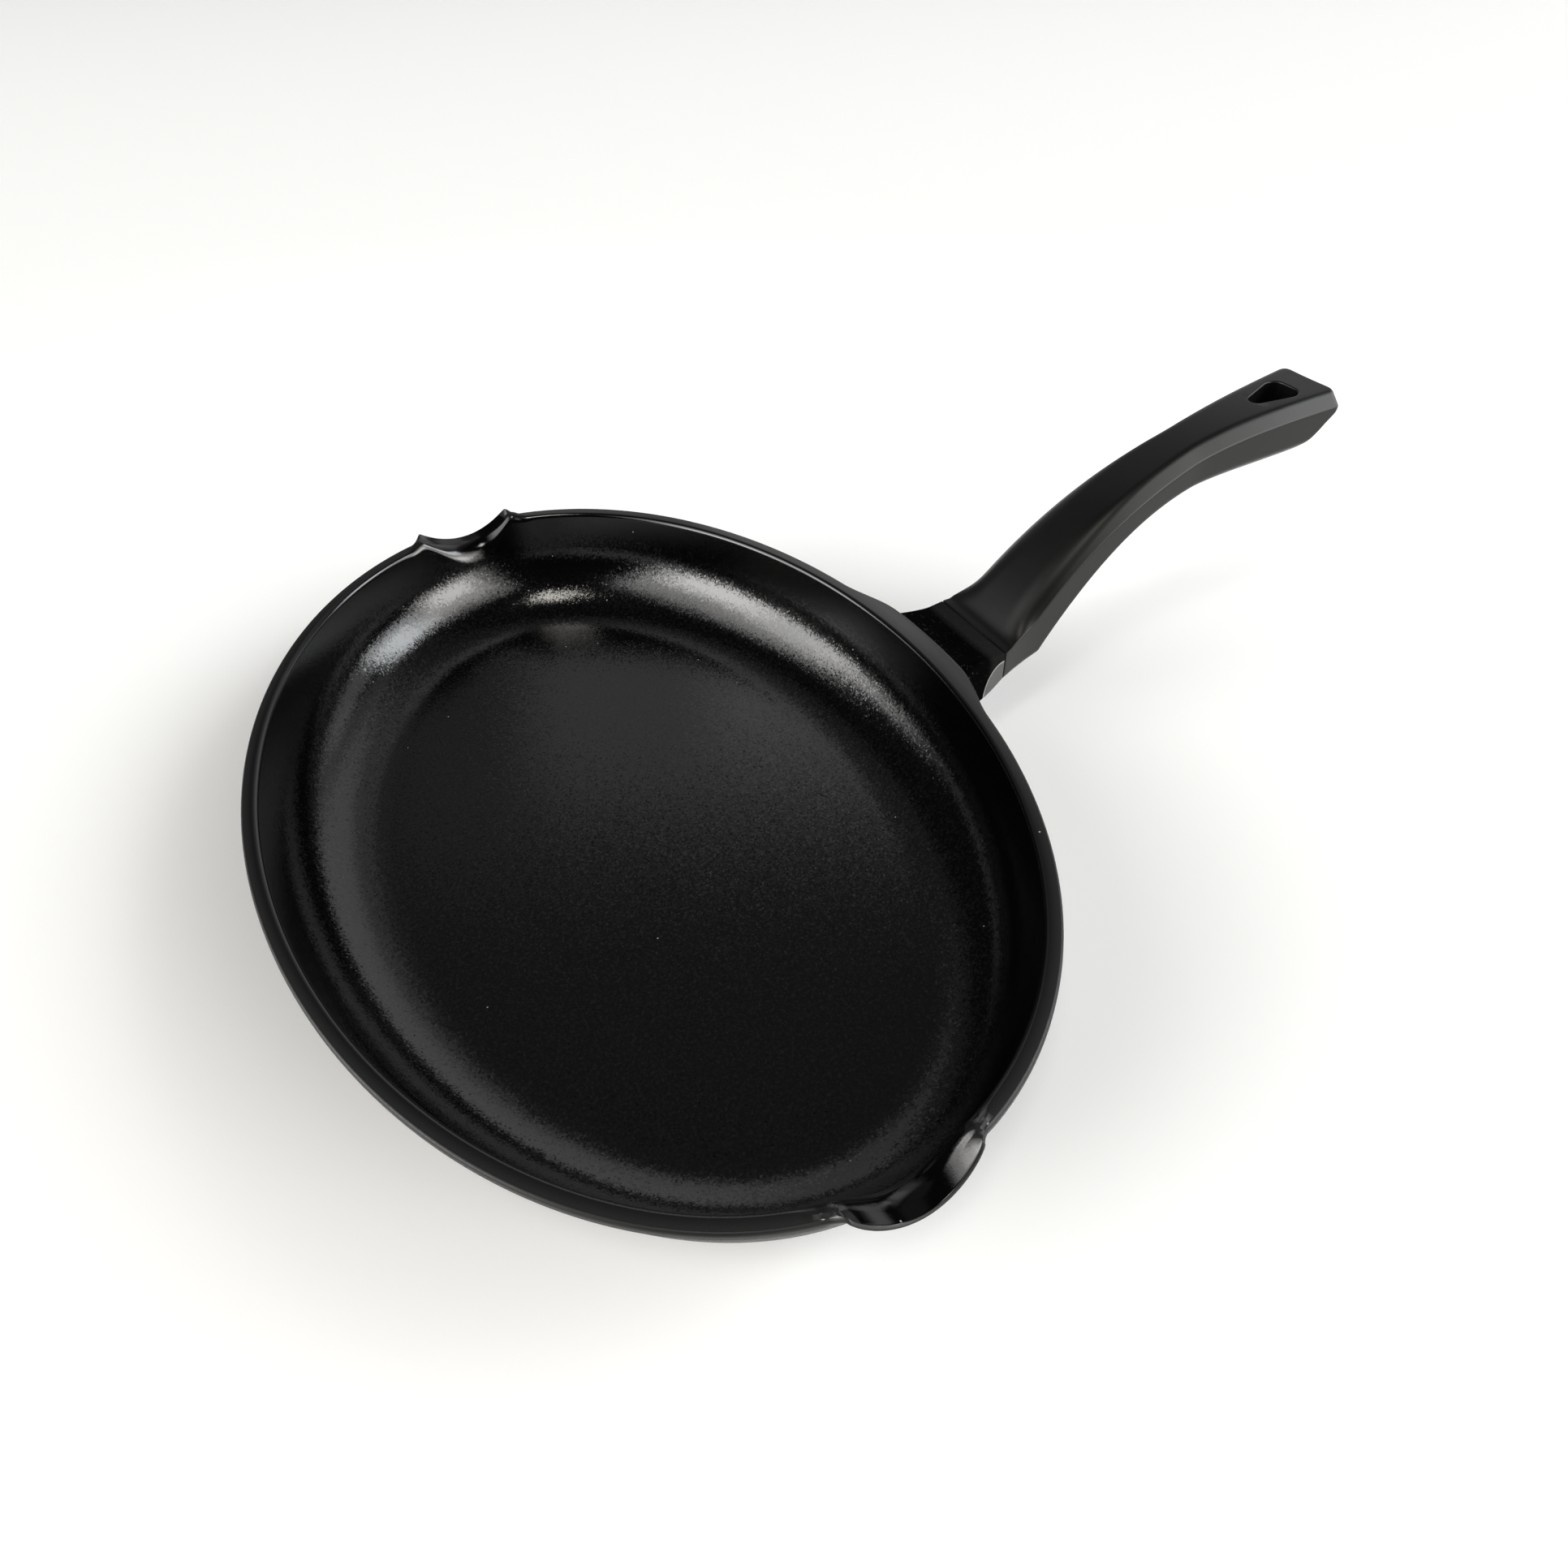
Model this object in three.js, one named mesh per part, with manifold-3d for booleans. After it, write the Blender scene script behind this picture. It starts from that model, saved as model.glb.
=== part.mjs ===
// Oval fish pan: a cast bowl with a pouring spout at each end and a grip held on by one screw.
// Millimetres, +Z up. The origin is the middle of the underside, +X points along the handle
// and Y runs from spout to spout.
import * as THREE from 'three';
import { mergeVertices } from 'three/addons/utils/BufferGeometryUtils.js';
import Module from 'manifold-3d';

const wasm = await Module();
wasm.setup();

// Gap kept between fitted pieces
const CLEARANCE = 0.3;

// How far a cutting tool runs past the face it cuts
const OVERCUT = 1;

// Bowl
const RIM_HALF_LENGTH = 180;
const RIM_HALF_WIDTH = 125;
const BOWL_DEPTH = 40;
const BASE_THICKNESS = 5;
const WALL_THICKNESS = 3.2;
const WALL_ANGLE = THREE.MathUtils.degToRad(77);
const FLOOR_FILLET = 31.5;
const FOOT_ANGLE = THREE.MathUtils.degToRad(18);

// Rolled lip round the bowl
const LIP_WIDTH = 5.3;
const LIP_HEIGHT = 3.6;
const LIP_INNER_RADIUS = 1.9;
const LIP_OUTER_RADIUS = 1.2;
const LIP_EDGE_SHARE = 0.4;
const LIP_UNDERCUT = 2;
const LIP_SWELL_AT_LUG = 4.4;
const LIP_SWELL_LENGTH = 28;

// Pouring spouts at both ends
const SPOUT_HALF_WIDTH = 19.8;
const SPOUT_DIP = 7.9;
const SPOUT_REACH = 4.5;
const SPOUT_LOWER_REACH = 3.5;
const SPOUT_LIP_SHARE = 0.8;
const SPOUT_UNDERCUT_SHARE = 0.66;
const HORN_HEIGHT = 2.7;
const HORN_REACH = 1.9;
const HORN_FADE = 5.5;

// Lug that carries the handle
const LUG_REACH = 25;
const LUG_HALF_WIDTH = 20.9;
const LUG_TOP_DROP = 3.5;
const LUG_SIDE_HEIGHT = 12;
const LUG_LOWER_BEVEL = 8;
const LUG_BLOCK = 9;
const LUG_VALLEY = 2.5;
const LUG_GUSSET = 7.5;
const LUG_GUSSET_LENGTH = 13.5;
const LUG_FLARE = 2.1;
const LUG_FLARE_POWER = 1.5;
const LUG_FLAT_HEIGHT = 16.5;
const LUG_ROOT_DEPTH = 20;

// Tongue of the lug inside the grip
const TONGUE_LENGTH = 18;
const TONGUE_WIDTH = 22;
const TONGUE_THICKNESS = 6.5;
const TONGUE_COVER = 2.5;

// Grip
const GRIP_LENGTH = 161.5;
const GRIP_RISE = 56.7;
const GRIP_SHELF = 4;
const GRIP_SHELF_RISE = 0.9;
const GRIP_START_ANGLE = THREE.MathUtils.degToRad(48);
const GRIP_END_ANGLE = THREE.MathUtils.degToRad(2.2);
const GRIP_START_PULL = 0.47;
const GRIP_END_PULL = 0.3;
const GRIP_SHOULDER_HALF_WIDTH = 17.2;
const GRIP_WAIST_HALF_WIDTH = 13.1;
const GRIP_TAIL_HALF_WIDTH = 17.7;
const GRIP_SHOULDER_AT = 0.133;
const GRIP_WAIST_FROM = 0.5;
const GRIP_WAIST_TO = 0.66;
const GRIP_TAIL_CORNER = 1.8;
const GRIP_CHAMFER = 4.8;
const GRIP_CHAMFER_START = 8;
const GRIP_FRONT_LENGTH = 15;
const GRIP_LOWER_BEVEL = 4.5;
const GRIP_BEVEL_FADE = 60;
const EDGE_BREAK = 0.3;
const BELLY_LENGTH = 20;
const BELLY_RISE = 3;
const BELLY_ANGLE = THREE.MathUtils.degToRad(50);
const BELLY_END_ANGLE = THREE.MathUtils.degToRad(5.6);
const BELLY_START_PULL = 0.463;
const BELLY_END_PULL = 0.335;
const TAIL_DEPTH = 17;
const TAIL_EDGE_DEPTH = 5.3;
const TAIL_CUT_LENGTH = 11;

// Hanging hole, a rounded triangle with its narrow end towards the bowl
const HOLE_LENGTH = 20.6;
const HOLE_NARROW_RADIUS = 3.4;
const HOLE_CORNER_RADIUS = 3.2;
const HOLE_HALF_WIDTH = 7.2;
const HOLE_TAIL_DISTANCE = 11.4;

// Fastening of the grip, one screw upwards through the belly
const SCREW_SETBACK = 10;
const SCREW_DIAMETER = 4;
const SCREW_TIP_SETBACK = 0.5;
const HEAD_DIAMETER = 8;
const HEAD_HEIGHT = 3.1;
const HEAD_DOME_WIDTH = 1.3;
const HEAD_DOME_HEIGHT = 1.5;
const SCREW_TIP_BEVEL = 0.6;
const RECESS_WIDTH = 1.2;
const RECESS_SPAN = 4.4;
const RECESS_DEPTH = 1.7;
const WASHER_DIAMETER = 9;
const FLAT_WASHER_THICKNESS = 0.8;
const LOCK_WASHER_DIAMETER = 7.6;
const LOCK_WASHER_THICKNESS = 0.9;
const LOCK_WASHER_SLOT = THREE.MathUtils.degToRad(24);
const SEAT_WALL = 2.8;
const BUSH_DIAMETER = 7;
const INSERT_DIAMETER = 6.6;

// Steel plate let into the underside, held by studs of the casting
const PLATE_THICKNESS = 2;
const PLATE_INSET = 11;
const STUD_DIAMETER = 9;
const STUD_RINGS = [
  { share: 0.45, count: 6 },
  { share: 0.8, count: 12 },
];

// Facets
const SPOUT_STEPS = 12;
const HORN_STEPS = 2;
const HANDLE_SIDE_STEPS = 36;
const FAR_SIDE_STEPS = 28;
const FILLET_STEPS = 6;
const LIP_STEPS = 3;
const OUTER_STEPS = 4;
const LUG_SIDE_STEPS = 5;
const LUG_TOP_SHARES = [0, 0.35, 0.7];
const LUG_ROOT_STEPS = 10;
const LUG_BLOCK_STEPS = 6;
const GRIP_SHELF_STEPS = 2;
const GRIP_FRONT_STEPS = 12;
const GRIP_SWEEP_STEPS = 20;
const GRIP_TAIL_STEPS = 3;
const GRIP_CORNER_STEPS = 2;
const HOLE_STEPS = 6;
const DOME_STEPS = 3;
const SLOPE_STEP = 1;
const SEARCH_ROUNDS = 40;
const PLATE_SIDES = 72;
const ROUND_SIDES = 24;
const STUD_SIDES = 10;

// Places worked out from the sizes above
const RIM_HEIGHT = BASE_THICKNESS + BOWL_DEPTH;
const PARTING_X = RIM_HALF_WIDTH + LUG_REACH;
const LUG_TOP = RIM_HEIGHT - LUG_TOP_DROP;
const LUG_SIDE_LOW = LUG_TOP - LUG_SIDE_HEIGHT;
const WALL_LENGTH = (BOWL_DEPTH - FLOOR_FILLET * (1 - Math.cos(WALL_ANGLE))) / Math.sin(WALL_ANGLE);
const FLOOR_INSET = LIP_WIDTH + WALL_LENGTH * Math.cos(WALL_ANGLE) + FLOOR_FILLET * Math.sin(WALL_ANGLE);
const FILLET_CENTRE_Z = BASE_THICKNESS + FLOOR_FILLET;
const RECESS_INSET = FLOOR_INSET + PLATE_INSET;
const TONGUE_TOP = LUG_TOP - TONGUE_COVER;
const TONGUE_BOTTOM = TONGUE_TOP - TONGUE_THICKNESS;
const SCREW_X = PARTING_X + SCREW_SETBACK;
const SEAT_Z = TONGUE_BOTTOM - CLEARANCE - SEAT_WALL;
const FLAT_WASHER_TOP = SEAT_Z - CLEARANCE;
const LOCK_WASHER_TOP = FLAT_WASHER_TOP - FLAT_WASHER_THICKNESS - CLEARANCE;
const HEAD_TOP = LOCK_WASHER_TOP - LOCK_WASHER_THICKNESS - CLEARANCE;
const WASHER_BORE = SCREW_DIAMETER + 2 * CLEARANCE;

const ramp = THREE.MathUtils.smoothstep;

// Even steps from the first stop to the last, with a count for each stretch
function stations(stops, counts) {
  const list = [stops[0]];
  counts.forEach((count, stretch) => {
    for (let step = 1; step <= count; step += 1) {
      list.push(THREE.MathUtils.lerp(stops[stretch], stops[stretch + 1], step / count));
    }
  });
  return list;
}

// A closed body through rings of equal point counts, with a fan over the first and the last ring
function stack(rings) {
  const count = rings[0].length;
  const positions = rings.flat(2);
  const middle = (ring) => [0, 1, 2].map((axis) => ring.reduce((sum, p) => sum + p[axis], 0) / count);
  const firstMiddle = rings.length * count;
  const lastMiddle = firstMiddle + 1;
  positions.push(...middle(rings[0]), ...middle(rings.at(-1)));
  const index = [];
  for (let j = 0; j < count; j += 1) {
    const next = (j + 1) % count;
    for (let i = 0; i < rings.length - 1; i += 1) {
      const low = i * count;
      const high = low + count;
      index.push(low + j, low + next, high + next, low + j, high + next, high + j);
    }
    const last = (rings.length - 1) * count;
    index.push(firstMiddle, next, j, lastMiddle, last + j, last + next);
  }
  const geometry = new THREE.BufferGeometry();
  geometry.setAttribute('position', new THREE.Float32BufferAttribute(positions, 3));
  geometry.setIndex(index);
  return geometry;
}

// Six times the volume inside a geometry, negative where its faces point in
function signedVolume(geometry) {
  const place = geometry.attributes.position;
  const corner = (k) => new THREE.Vector3().fromBufferAttribute(place, geometry.index.getX(k));
  let sum = 0;
  for (let k = 0; k < geometry.index.count; k += 3) {
    sum += corner(k).dot(corner(k + 1).cross(corner(k + 2)));
  }
  return sum;
}

// Solids for joining and cutting
function toSolid(geometry) {
  geometry.deleteAttribute('normal');
  geometry.deleteAttribute('uv');
  const merged = mergeVertices(geometry);
  if (signedVolume(merged) < 0) {
    merged.index.array.reverse();
  }
  return new wasm.Manifold(new wasm.Mesh({
    numProp: 3,
    vertProperties: new Float32Array(merged.attributes.position.array),
    triVerts: new Uint32Array(merged.index.array),
  }));
}

function toGeometry(solid) {
  const mesh = solid.getMesh();
  const geometry = new THREE.BufferGeometry();
  geometry.setAttribute('position', new THREE.BufferAttribute(mesh.vertProperties, 3));
  geometry.setIndex(new THREE.BufferAttribute(mesh.triVerts, 1));
  geometry.computeVertexNormals();
  return geometry;
}

function box(x0, x1, halfWidth, z0, z1) {
  const geometry = new THREE.BoxGeometry(x1 - x0, 2 * halfWidth, z1 - z0);
  return toSolid(geometry.translate((x0 + x1) / 2, 0, (z0 + z1) / 2));
}

// An upright round bar
function bar(x, y, diameter, z0, z1, sides = ROUND_SIDES) {
  const geometry = new THREE.CylinderGeometry(diameter / 2, diameter / 2, z1 - z0, sides);
  return toSolid(geometry.rotateX(Math.PI / 2).translate(x, y, (z0 + z1) / 2));
}

function sleeve(outer, bore, z0, z1) {
  const whole = bar(SCREW_X, 0, outer, z0, z1);
  return whole.subtract(bar(SCREW_X, 0, bore, z0 - OVERCUT, z1 + OVERCUT));
}

// The oval of the rim, moved inwards by an inset
function ovalPoint(angle, inset, z) {
  const normal = new THREE.Vector2(Math.cos(angle) / RIM_HALF_WIDTH, Math.sin(angle) / RIM_HALF_LENGTH);
  normal.normalize();
  const x = RIM_HALF_WIDTH * Math.cos(angle) - inset * normal.x;
  const y = RIM_HALF_LENGTH * Math.sin(angle) - inset * normal.y;
  return [x, y, z];
}

// Angles round the oval, finer through the spouts and past the lug
function ovalAngles() {
  const spoutEnd = SPOUT_HALF_WIDTH + HORN_FADE;
  const across = stations(
    [spoutEnd, SPOUT_HALF_WIDTH, -SPOUT_HALF_WIDTH, -spoutEnd],
    [HORN_STEPS, SPOUT_STEPS, HORN_STEPS],
  );
  const spout = across.map((x) => Math.acos(x / RIM_HALF_WIDTH));
  const start = spout[0];
  const end = spout.at(-1);
  const farSide = stations([end, 2 * Math.PI - end], [FAR_SIDE_STEPS]).slice(1, -1);
  const nearSpout = spout.map((angle) => angle + Math.PI);
  const handleSide = stations([-start, start], [HANDLE_SIDE_STEPS]).slice(1, -1);
  return [...spout, ...farSide, ...nearSpout, ...handleSide];
}

// How far the rim's edge rises and reaches out at an angle, and how far the lip's lower edge reaches:
// horns and a trough at the spouts, a swell beside the lug
function rimEdge(angle) {
  const x = RIM_HALF_WIDTH * Math.cos(angle);
  const y = RIM_HALF_LENGTH * Math.sin(angle);
  const across = Math.abs(x);
  if (across <= SPOUT_HALF_WIDTH) {
    const trough = 1 - (across / SPOUT_HALF_WIDTH) ** 2;
    const rise = HORN_HEIGHT - (HORN_HEIGHT + SPOUT_DIP) * trough;
    const reach = HORN_REACH + (SPOUT_REACH - HORN_REACH) * Math.sqrt(trough);
    return { rise, reach, lowReach: SPOUT_LOWER_REACH * trough };
  }
  if (across < SPOUT_HALF_WIDTH + HORN_FADE) {
    const left = (1 - (across - SPOUT_HALF_WIDTH) / HORN_FADE) ** 2;
    return { rise: HORN_HEIGHT * left, reach: HORN_REACH * left, lowReach: 0 };
  }
  const beside = Math.abs(y) - LUG_HALF_WIDTH;
  const swell = x > 0 ? LIP_SWELL_AT_LUG * (1 - ramp(beside, 0, LIP_SWELL_LENGTH)) : 0;
  return { rise: 0, reach: swell, lowReach: swell };
}

function wallInset(z) {
  return LIP_WIDTH + (RIM_HEIGHT - z) / Math.tan(WALL_ANGLE);
}

// Points round the fillet between floor and wall, from the floor's edge up
function filletPoints(radius, from, to, steps) {
  return stations([from, to], [steps]).map((turn) => [
    FLOOR_INSET - radius * Math.sin(turn),
    FILLET_CENTRE_Z - radius * Math.cos(turn),
  ]);
}

// The wall's section as pairs of inset and height, from the floor's edge over the lip to the underside
function bowlSection({ rise, reach, lowReach }) {
  const top = RIM_HEIGHT + rise;
  const dip = Math.max(0, -rise);
  const inside = filletPoints(FLOOR_FILLET, 0, WALL_ANGLE, FILLET_STEPS);
  const bendInset = wallInset(top) - LIP_INNER_RADIUS * Math.tan(WALL_ANGLE / 2);
  const bend = stations([WALL_ANGLE, 0], [LIP_STEPS]).map((turn) => [
    bendInset + LIP_INNER_RADIUS * Math.sin(turn),
    top - LIP_INNER_RADIUS * (1 - Math.cos(turn)),
  ]);
  const lipLow = RIM_HEIGHT - LIP_HEIGHT + Math.max(rise, SPOUT_LIP_SHARE * rise);
  const edge = Math.min(LIP_OUTER_RADIUS, LIP_EDGE_SHARE * (top - lipLow));
  const outerRadius = FLOOR_FILLET + WALL_THICKNESS;
  const outside = filletPoints(outerRadius, WALL_ANGLE, FOOT_ANGLE, OUTER_STEPS);
  const underLip = Math.max(lipLow - LIP_UNDERCUT - SPOUT_UNDERCUT_SHARE * dip, outside[0][1] + CLEARANCE);
  const [footInset, footZ] = outside.at(-1);
  return [
    ...inside,
    ...bend,
    [edge - reach, top],
    [-reach, top - edge],
    [-lowReach, lipLow + edge],
    [edge - lowReach, lipLow],
    [wallInset(underLip) - WALL_THICKNESS / Math.sin(WALL_ANGLE), underLip],
    ...outside,
    [footInset + footZ / Math.tan(FOOT_ANGLE), 0],
    [RECESS_INSET, 0],
    [RECESS_INSET, PLATE_THICKNESS + CLEARANCE],
  ];
}

function ovalRings(angles, sectionAt) {
  const sections = angles.map(sectionAt);
  return sections[0].map((_, ring) => angles.map((angle, k) => ovalPoint(angle, ...sections[k][ring])));
}

// The room inside the bowl and half the wall, which trims the lug's root
function bowlRoom() {
  const half = WALL_THICKNESS / 2;
  const section = [
    ...filletPoints(FLOOR_FILLET + half, 0, WALL_ANGLE, FILLET_STEPS),
    [wallInset(RIM_HEIGHT + LIP_HEIGHT) - half, RIM_HEIGHT + LIP_HEIGHT],
  ];
  return toSolid(stack(ovalRings(ovalAngles(), () => section)));
}

// Half-width of the lug at a distance back from the parting face and a height: flat-sided inside
// an arc beside the grip, flaring towards the bowl outside it
function lugHalfWidth(back, z, flatLow) {
  const round = Math.hypot(back / LUG_BLOCK, (z - flatLow) / LUG_FLAT_HEIGHT);
  return LUG_HALF_WIDTH + LUG_FLARE * Math.max(0, round - 1) ** LUG_FLARE_POWER;
}

// One upright section of the lug: a slightly dished top, flaring sides and a bevelled underside
function lugSection(back) {
  const x = PARTING_X - back;
  const neck = LUG_REACH - LIP_SWELL_AT_LUG;
  const valley = (LUG_BLOCK / 2 + neck) / 2;
  const dish = ramp(back, LUG_BLOCK / 2, valley) - ramp(back, valley, neck);
  const drop = LUG_GUSSET * Math.sin(Math.min(1, back / LUG_GUSSET_LENGTH) * Math.PI / 2);
  const sideLow = LUG_SIDE_LOW - drop;
  const flatLow = LUG_SIDE_LOW - LUG_GUSSET;
  const levels = stations([LUG_TOP, sideLow], [LUG_SIDE_STEPS]);
  const side = levels.map((z) => [lugHalfWidth(back, z, flatLow), z]);
  const [topHalf] = side[0];
  const [lowHalf] = side.at(-1);
  const top = LUG_TOP_SHARES.map((share) => [
    share * topHalf,
    LUG_TOP - LUG_VALLEY * dish * (1 - share ** 2),
  ]);
  const outline = [...top, ...side, [lowHalf - LUG_LOWER_BEVEL, sideLow - LUG_LOWER_BEVEL]];
  const right = outline.map(([y, z]) => [x, y, z]);
  const left = outline.slice(1).map(([y, z]) => [x, -y, z]).reverse();
  return [...right, ...left];
}

function lugSolid() {
  const backs = stations([LUG_REACH + LUG_ROOT_DEPTH, LUG_BLOCK, 0], [LUG_ROOT_STEPS, LUG_BLOCK_STEPS]);
  const block = toSolid(stack(backs.map(lugSection)));
  const root = PARTING_X - LUG_BLOCK;
  const tongue = box(root, PARTING_X + TONGUE_LENGTH, TONGUE_WIDTH / 2, TONGUE_BOTTOM, TONGUE_TOP);
  const boreWidth = INSERT_DIAMETER + 2 * CLEARANCE;
  const bore = bar(SCREW_X, 0, boreWidth, TONGUE_BOTTOM - OVERCUT, TONGUE_TOP + OVERCUT);
  return block.subtract(bowlRoom()).add(tongue).subtract(bore);
}

// Middles of the studs that hold the steel plate
function studPlaces() {
  const halfLength = RIM_HALF_LENGTH - RECESS_INSET;
  const halfWidth = RIM_HALF_WIDTH - RECESS_INSET;
  return STUD_RINGS.flatMap(({ share, count }) => stations([0, 2 * Math.PI], [count]).slice(1).map((turn) => [
    share * halfWidth * Math.cos(turn),
    share * halfLength * Math.sin(turn),
  ]));
}

function panBody() {
  const bowl = toSolid(stack(ovalRings(ovalAngles(), (angle) => bowlSection(rimEdge(angle)))));
  const top = PLATE_THICKNESS + 2 * CLEARANCE;
  const studs = studPlaces().map(([x, y]) => bar(x, y, STUD_DIAMETER, 0, top, STUD_SIDES));
  return studs.reduce((whole, stud) => whole.add(stud), bowl.add(lugSolid()));
}

function inductionPlate() {
  const turns = stations([0, 2 * Math.PI], [PLATE_SIDES]).slice(1);
  const points = turns.map((turn) => new THREE.Vector2(...ovalPoint(turn, RECESS_INSET + CLEARANCE, 0)));
  const shape = new THREE.Shape(points);
  const plate = toSolid(new THREE.ExtrudeGeometry(shape, { depth: PLATE_THICKNESS, bevelEnabled: false }));
  const bore = STUD_DIAMETER + 2 * CLEARANCE;
  const above = PLATE_THICKNESS + OVERCUT;
  const holes = studPlaces().map(([x, y]) => bar(x, y, bore, -OVERCUT, above, STUD_SIDES));
  return holes.reduce((whole, hole) => whole.subtract(hole), plate);
}

// Height on a side-view curve at a distance from the parting face
function heightOn(curve, distance) {
  let low = 0;
  let high = 1;
  for (let round = 0; round < SEARCH_ROUNDS; round += 1) {
    const half = (low + high) / 2;
    if (curve.getPoint(half).x < distance) {
      low = half;
    } else {
      high = half;
    }
  }
  return curve.getPoint(low).y;
}

// A side-view curve that leaves its start and reaches its end at given slopes
function sweepCurve(start, startAngle, startArm, end, endAngle, endArm) {
  const arm = (angle, length) => new THREE.Vector2(Math.cos(angle) * length, Math.sin(angle) * length);
  const first = start.clone().add(arm(startAngle, startArm));
  const second = end.clone().sub(arm(endAngle, endArm));
  return new THREE.CubicBezierCurve(start, first, second, end);
}

const tailStart = GRIP_LENGTH - TAIL_CUT_LENGTH;
const tailTop = RIM_HEIGHT + GRIP_RISE;
const topCurve = sweepCurve(
  new THREE.Vector2(GRIP_SHELF, LUG_TOP + GRIP_SHELF_RISE), GRIP_START_ANGLE, GRIP_START_PULL * GRIP_LENGTH,
  new THREE.Vector2(GRIP_LENGTH, tailTop), GRIP_END_ANGLE, GRIP_END_PULL * GRIP_LENGTH,
);
const bellyCurve = sweepCurve(
  new THREE.Vector2(BELLY_LENGTH, LUG_SIDE_LOW + BELLY_RISE), BELLY_ANGLE, BELLY_START_PULL * GRIP_LENGTH,
  new THREE.Vector2(tailStart, tailTop - TAIL_DEPTH), BELLY_END_ANGLE, BELLY_END_PULL * GRIP_LENGTH,
);

function gripTop(distance) {
  if (distance < GRIP_SHELF) {
    return LUG_TOP + GRIP_SHELF_RISE * distance / GRIP_SHELF;
  }
  return heightOn(topCurve, distance);
}

// Lower edge of the grip's flat side: along the belly, up the sweep and up the slanted tail
function gripLow(distance) {
  if (distance < BELLY_LENGTH) {
    return LUG_SIDE_LOW + BELLY_RISE * distance / BELLY_LENGTH;
  }
  if (distance > tailStart) {
    const share = (distance - tailStart) / TAIL_CUT_LENGTH;
    return tailTop - THREE.MathUtils.lerp(TAIL_DEPTH, TAIL_EDGE_DEPTH, share);
  }
  return heightOn(bellyCurve, distance);
}

const widthCurve = new THREE.SplineCurve([
  new THREE.Vector2(0, LUG_HALF_WIDTH),
  new THREE.Vector2(GRIP_SHOULDER_AT * GRIP_LENGTH, GRIP_SHOULDER_HALF_WIDTH),
  new THREE.Vector2(GRIP_WAIST_FROM * GRIP_LENGTH, GRIP_WAIST_HALF_WIDTH),
  new THREE.Vector2(GRIP_WAIST_TO * GRIP_LENGTH, GRIP_WAIST_HALF_WIDTH),
  new THREE.Vector2(GRIP_LENGTH, GRIP_TAIL_HALF_WIDTH),
]);

// Upper edge of the grip's flat side: straight along the front, then the chamfer's foot
function gripSideTop(distance) {
  if (distance < GRIP_FRONT_LENGTH) {
    const share = distance / GRIP_FRONT_LENGTH;
    return THREE.MathUtils.lerp(LUG_TOP, gripSideTop(GRIP_FRONT_LENGTH), share) - EDGE_BREAK;
  }
  const slope = (gripTop(distance) - gripTop(distance - SLOPE_STEP)) / SLOPE_STEP;
  return gripTop(distance) - GRIP_CHAMFER * Math.hypot(1, slope);
}

// One upright section of the grip, eight-sided, at a distance from the parting face
function gripSection(distance) {
  const chamfer = THREE.MathUtils.lerp(EDGE_BREAK, GRIP_CHAMFER, ramp(distance, 0, GRIP_CHAMFER_START));
  const bellyShare = 1 - ramp(distance, 0, GRIP_BEVEL_FADE);
  const fullBevel = THREE.MathUtils.lerp(GRIP_LOWER_BEVEL, LUG_LOWER_BEVEL, bellyShare);
  const bevel = THREE.MathUtils.lerp(fullBevel, EDGE_BREAK, ramp(distance, tailStart, GRIP_LENGTH));
  const corner = GRIP_TAIL_CORNER * ramp(distance, GRIP_LENGTH - GRIP_TAIL_CORNER, GRIP_LENGTH);
  const half = heightOn(widthCurve, distance) - corner;
  const low = gripLow(distance);
  const outline = [
    [half - chamfer, gripTop(distance)],
    [half, gripSideTop(distance)],
    [half, low],
    [half - bevel, low - bevel],
  ];
  const x = PARTING_X + distance;
  const right = outline.map(([y, z]) => [x, y, z]);
  const left = outline.map(([y, z]) => [x, -y, z]).reverse();
  return [...right, ...left];
}

// Rounded triangle of the hanging hole, cut upright through the tail
function hangingHole() {
  const end = PARTING_X + GRIP_LENGTH - HOLE_TAIL_DISTANCE;
  const narrow = new THREE.Vector2(end - HOLE_LENGTH + HOLE_NARROW_RADIUS, 0);
  const wide = new THREE.Vector2(end - HOLE_CORNER_RADIUS, HOLE_HALF_WIDTH - HOLE_CORNER_RADIUS);
  const way = wide.clone().sub(narrow);
  const lean = way.angle() + Math.asin((HOLE_CORNER_RADIUS - HOLE_NARROW_RADIUS) / way.length());
  const shape = new THREE.Shape();
  shape.absarc(narrow.x, 0, HOLE_NARROW_RADIUS, Math.PI / 2 + lean, 1.5 * Math.PI - lean);
  shape.absarc(wide.x, -wide.y, HOLE_CORNER_RADIUS, -Math.PI / 2 - lean, 0);
  shape.absarc(wide.x, wide.y, HOLE_CORNER_RADIUS, 0, Math.PI / 2 + lean);
  const options = { depth: tailTop + OVERCUT, bevelEnabled: false, curveSegments: HOLE_STEPS };
  return toSolid(new THREE.ExtrudeGeometry(shape, options));
}

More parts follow.
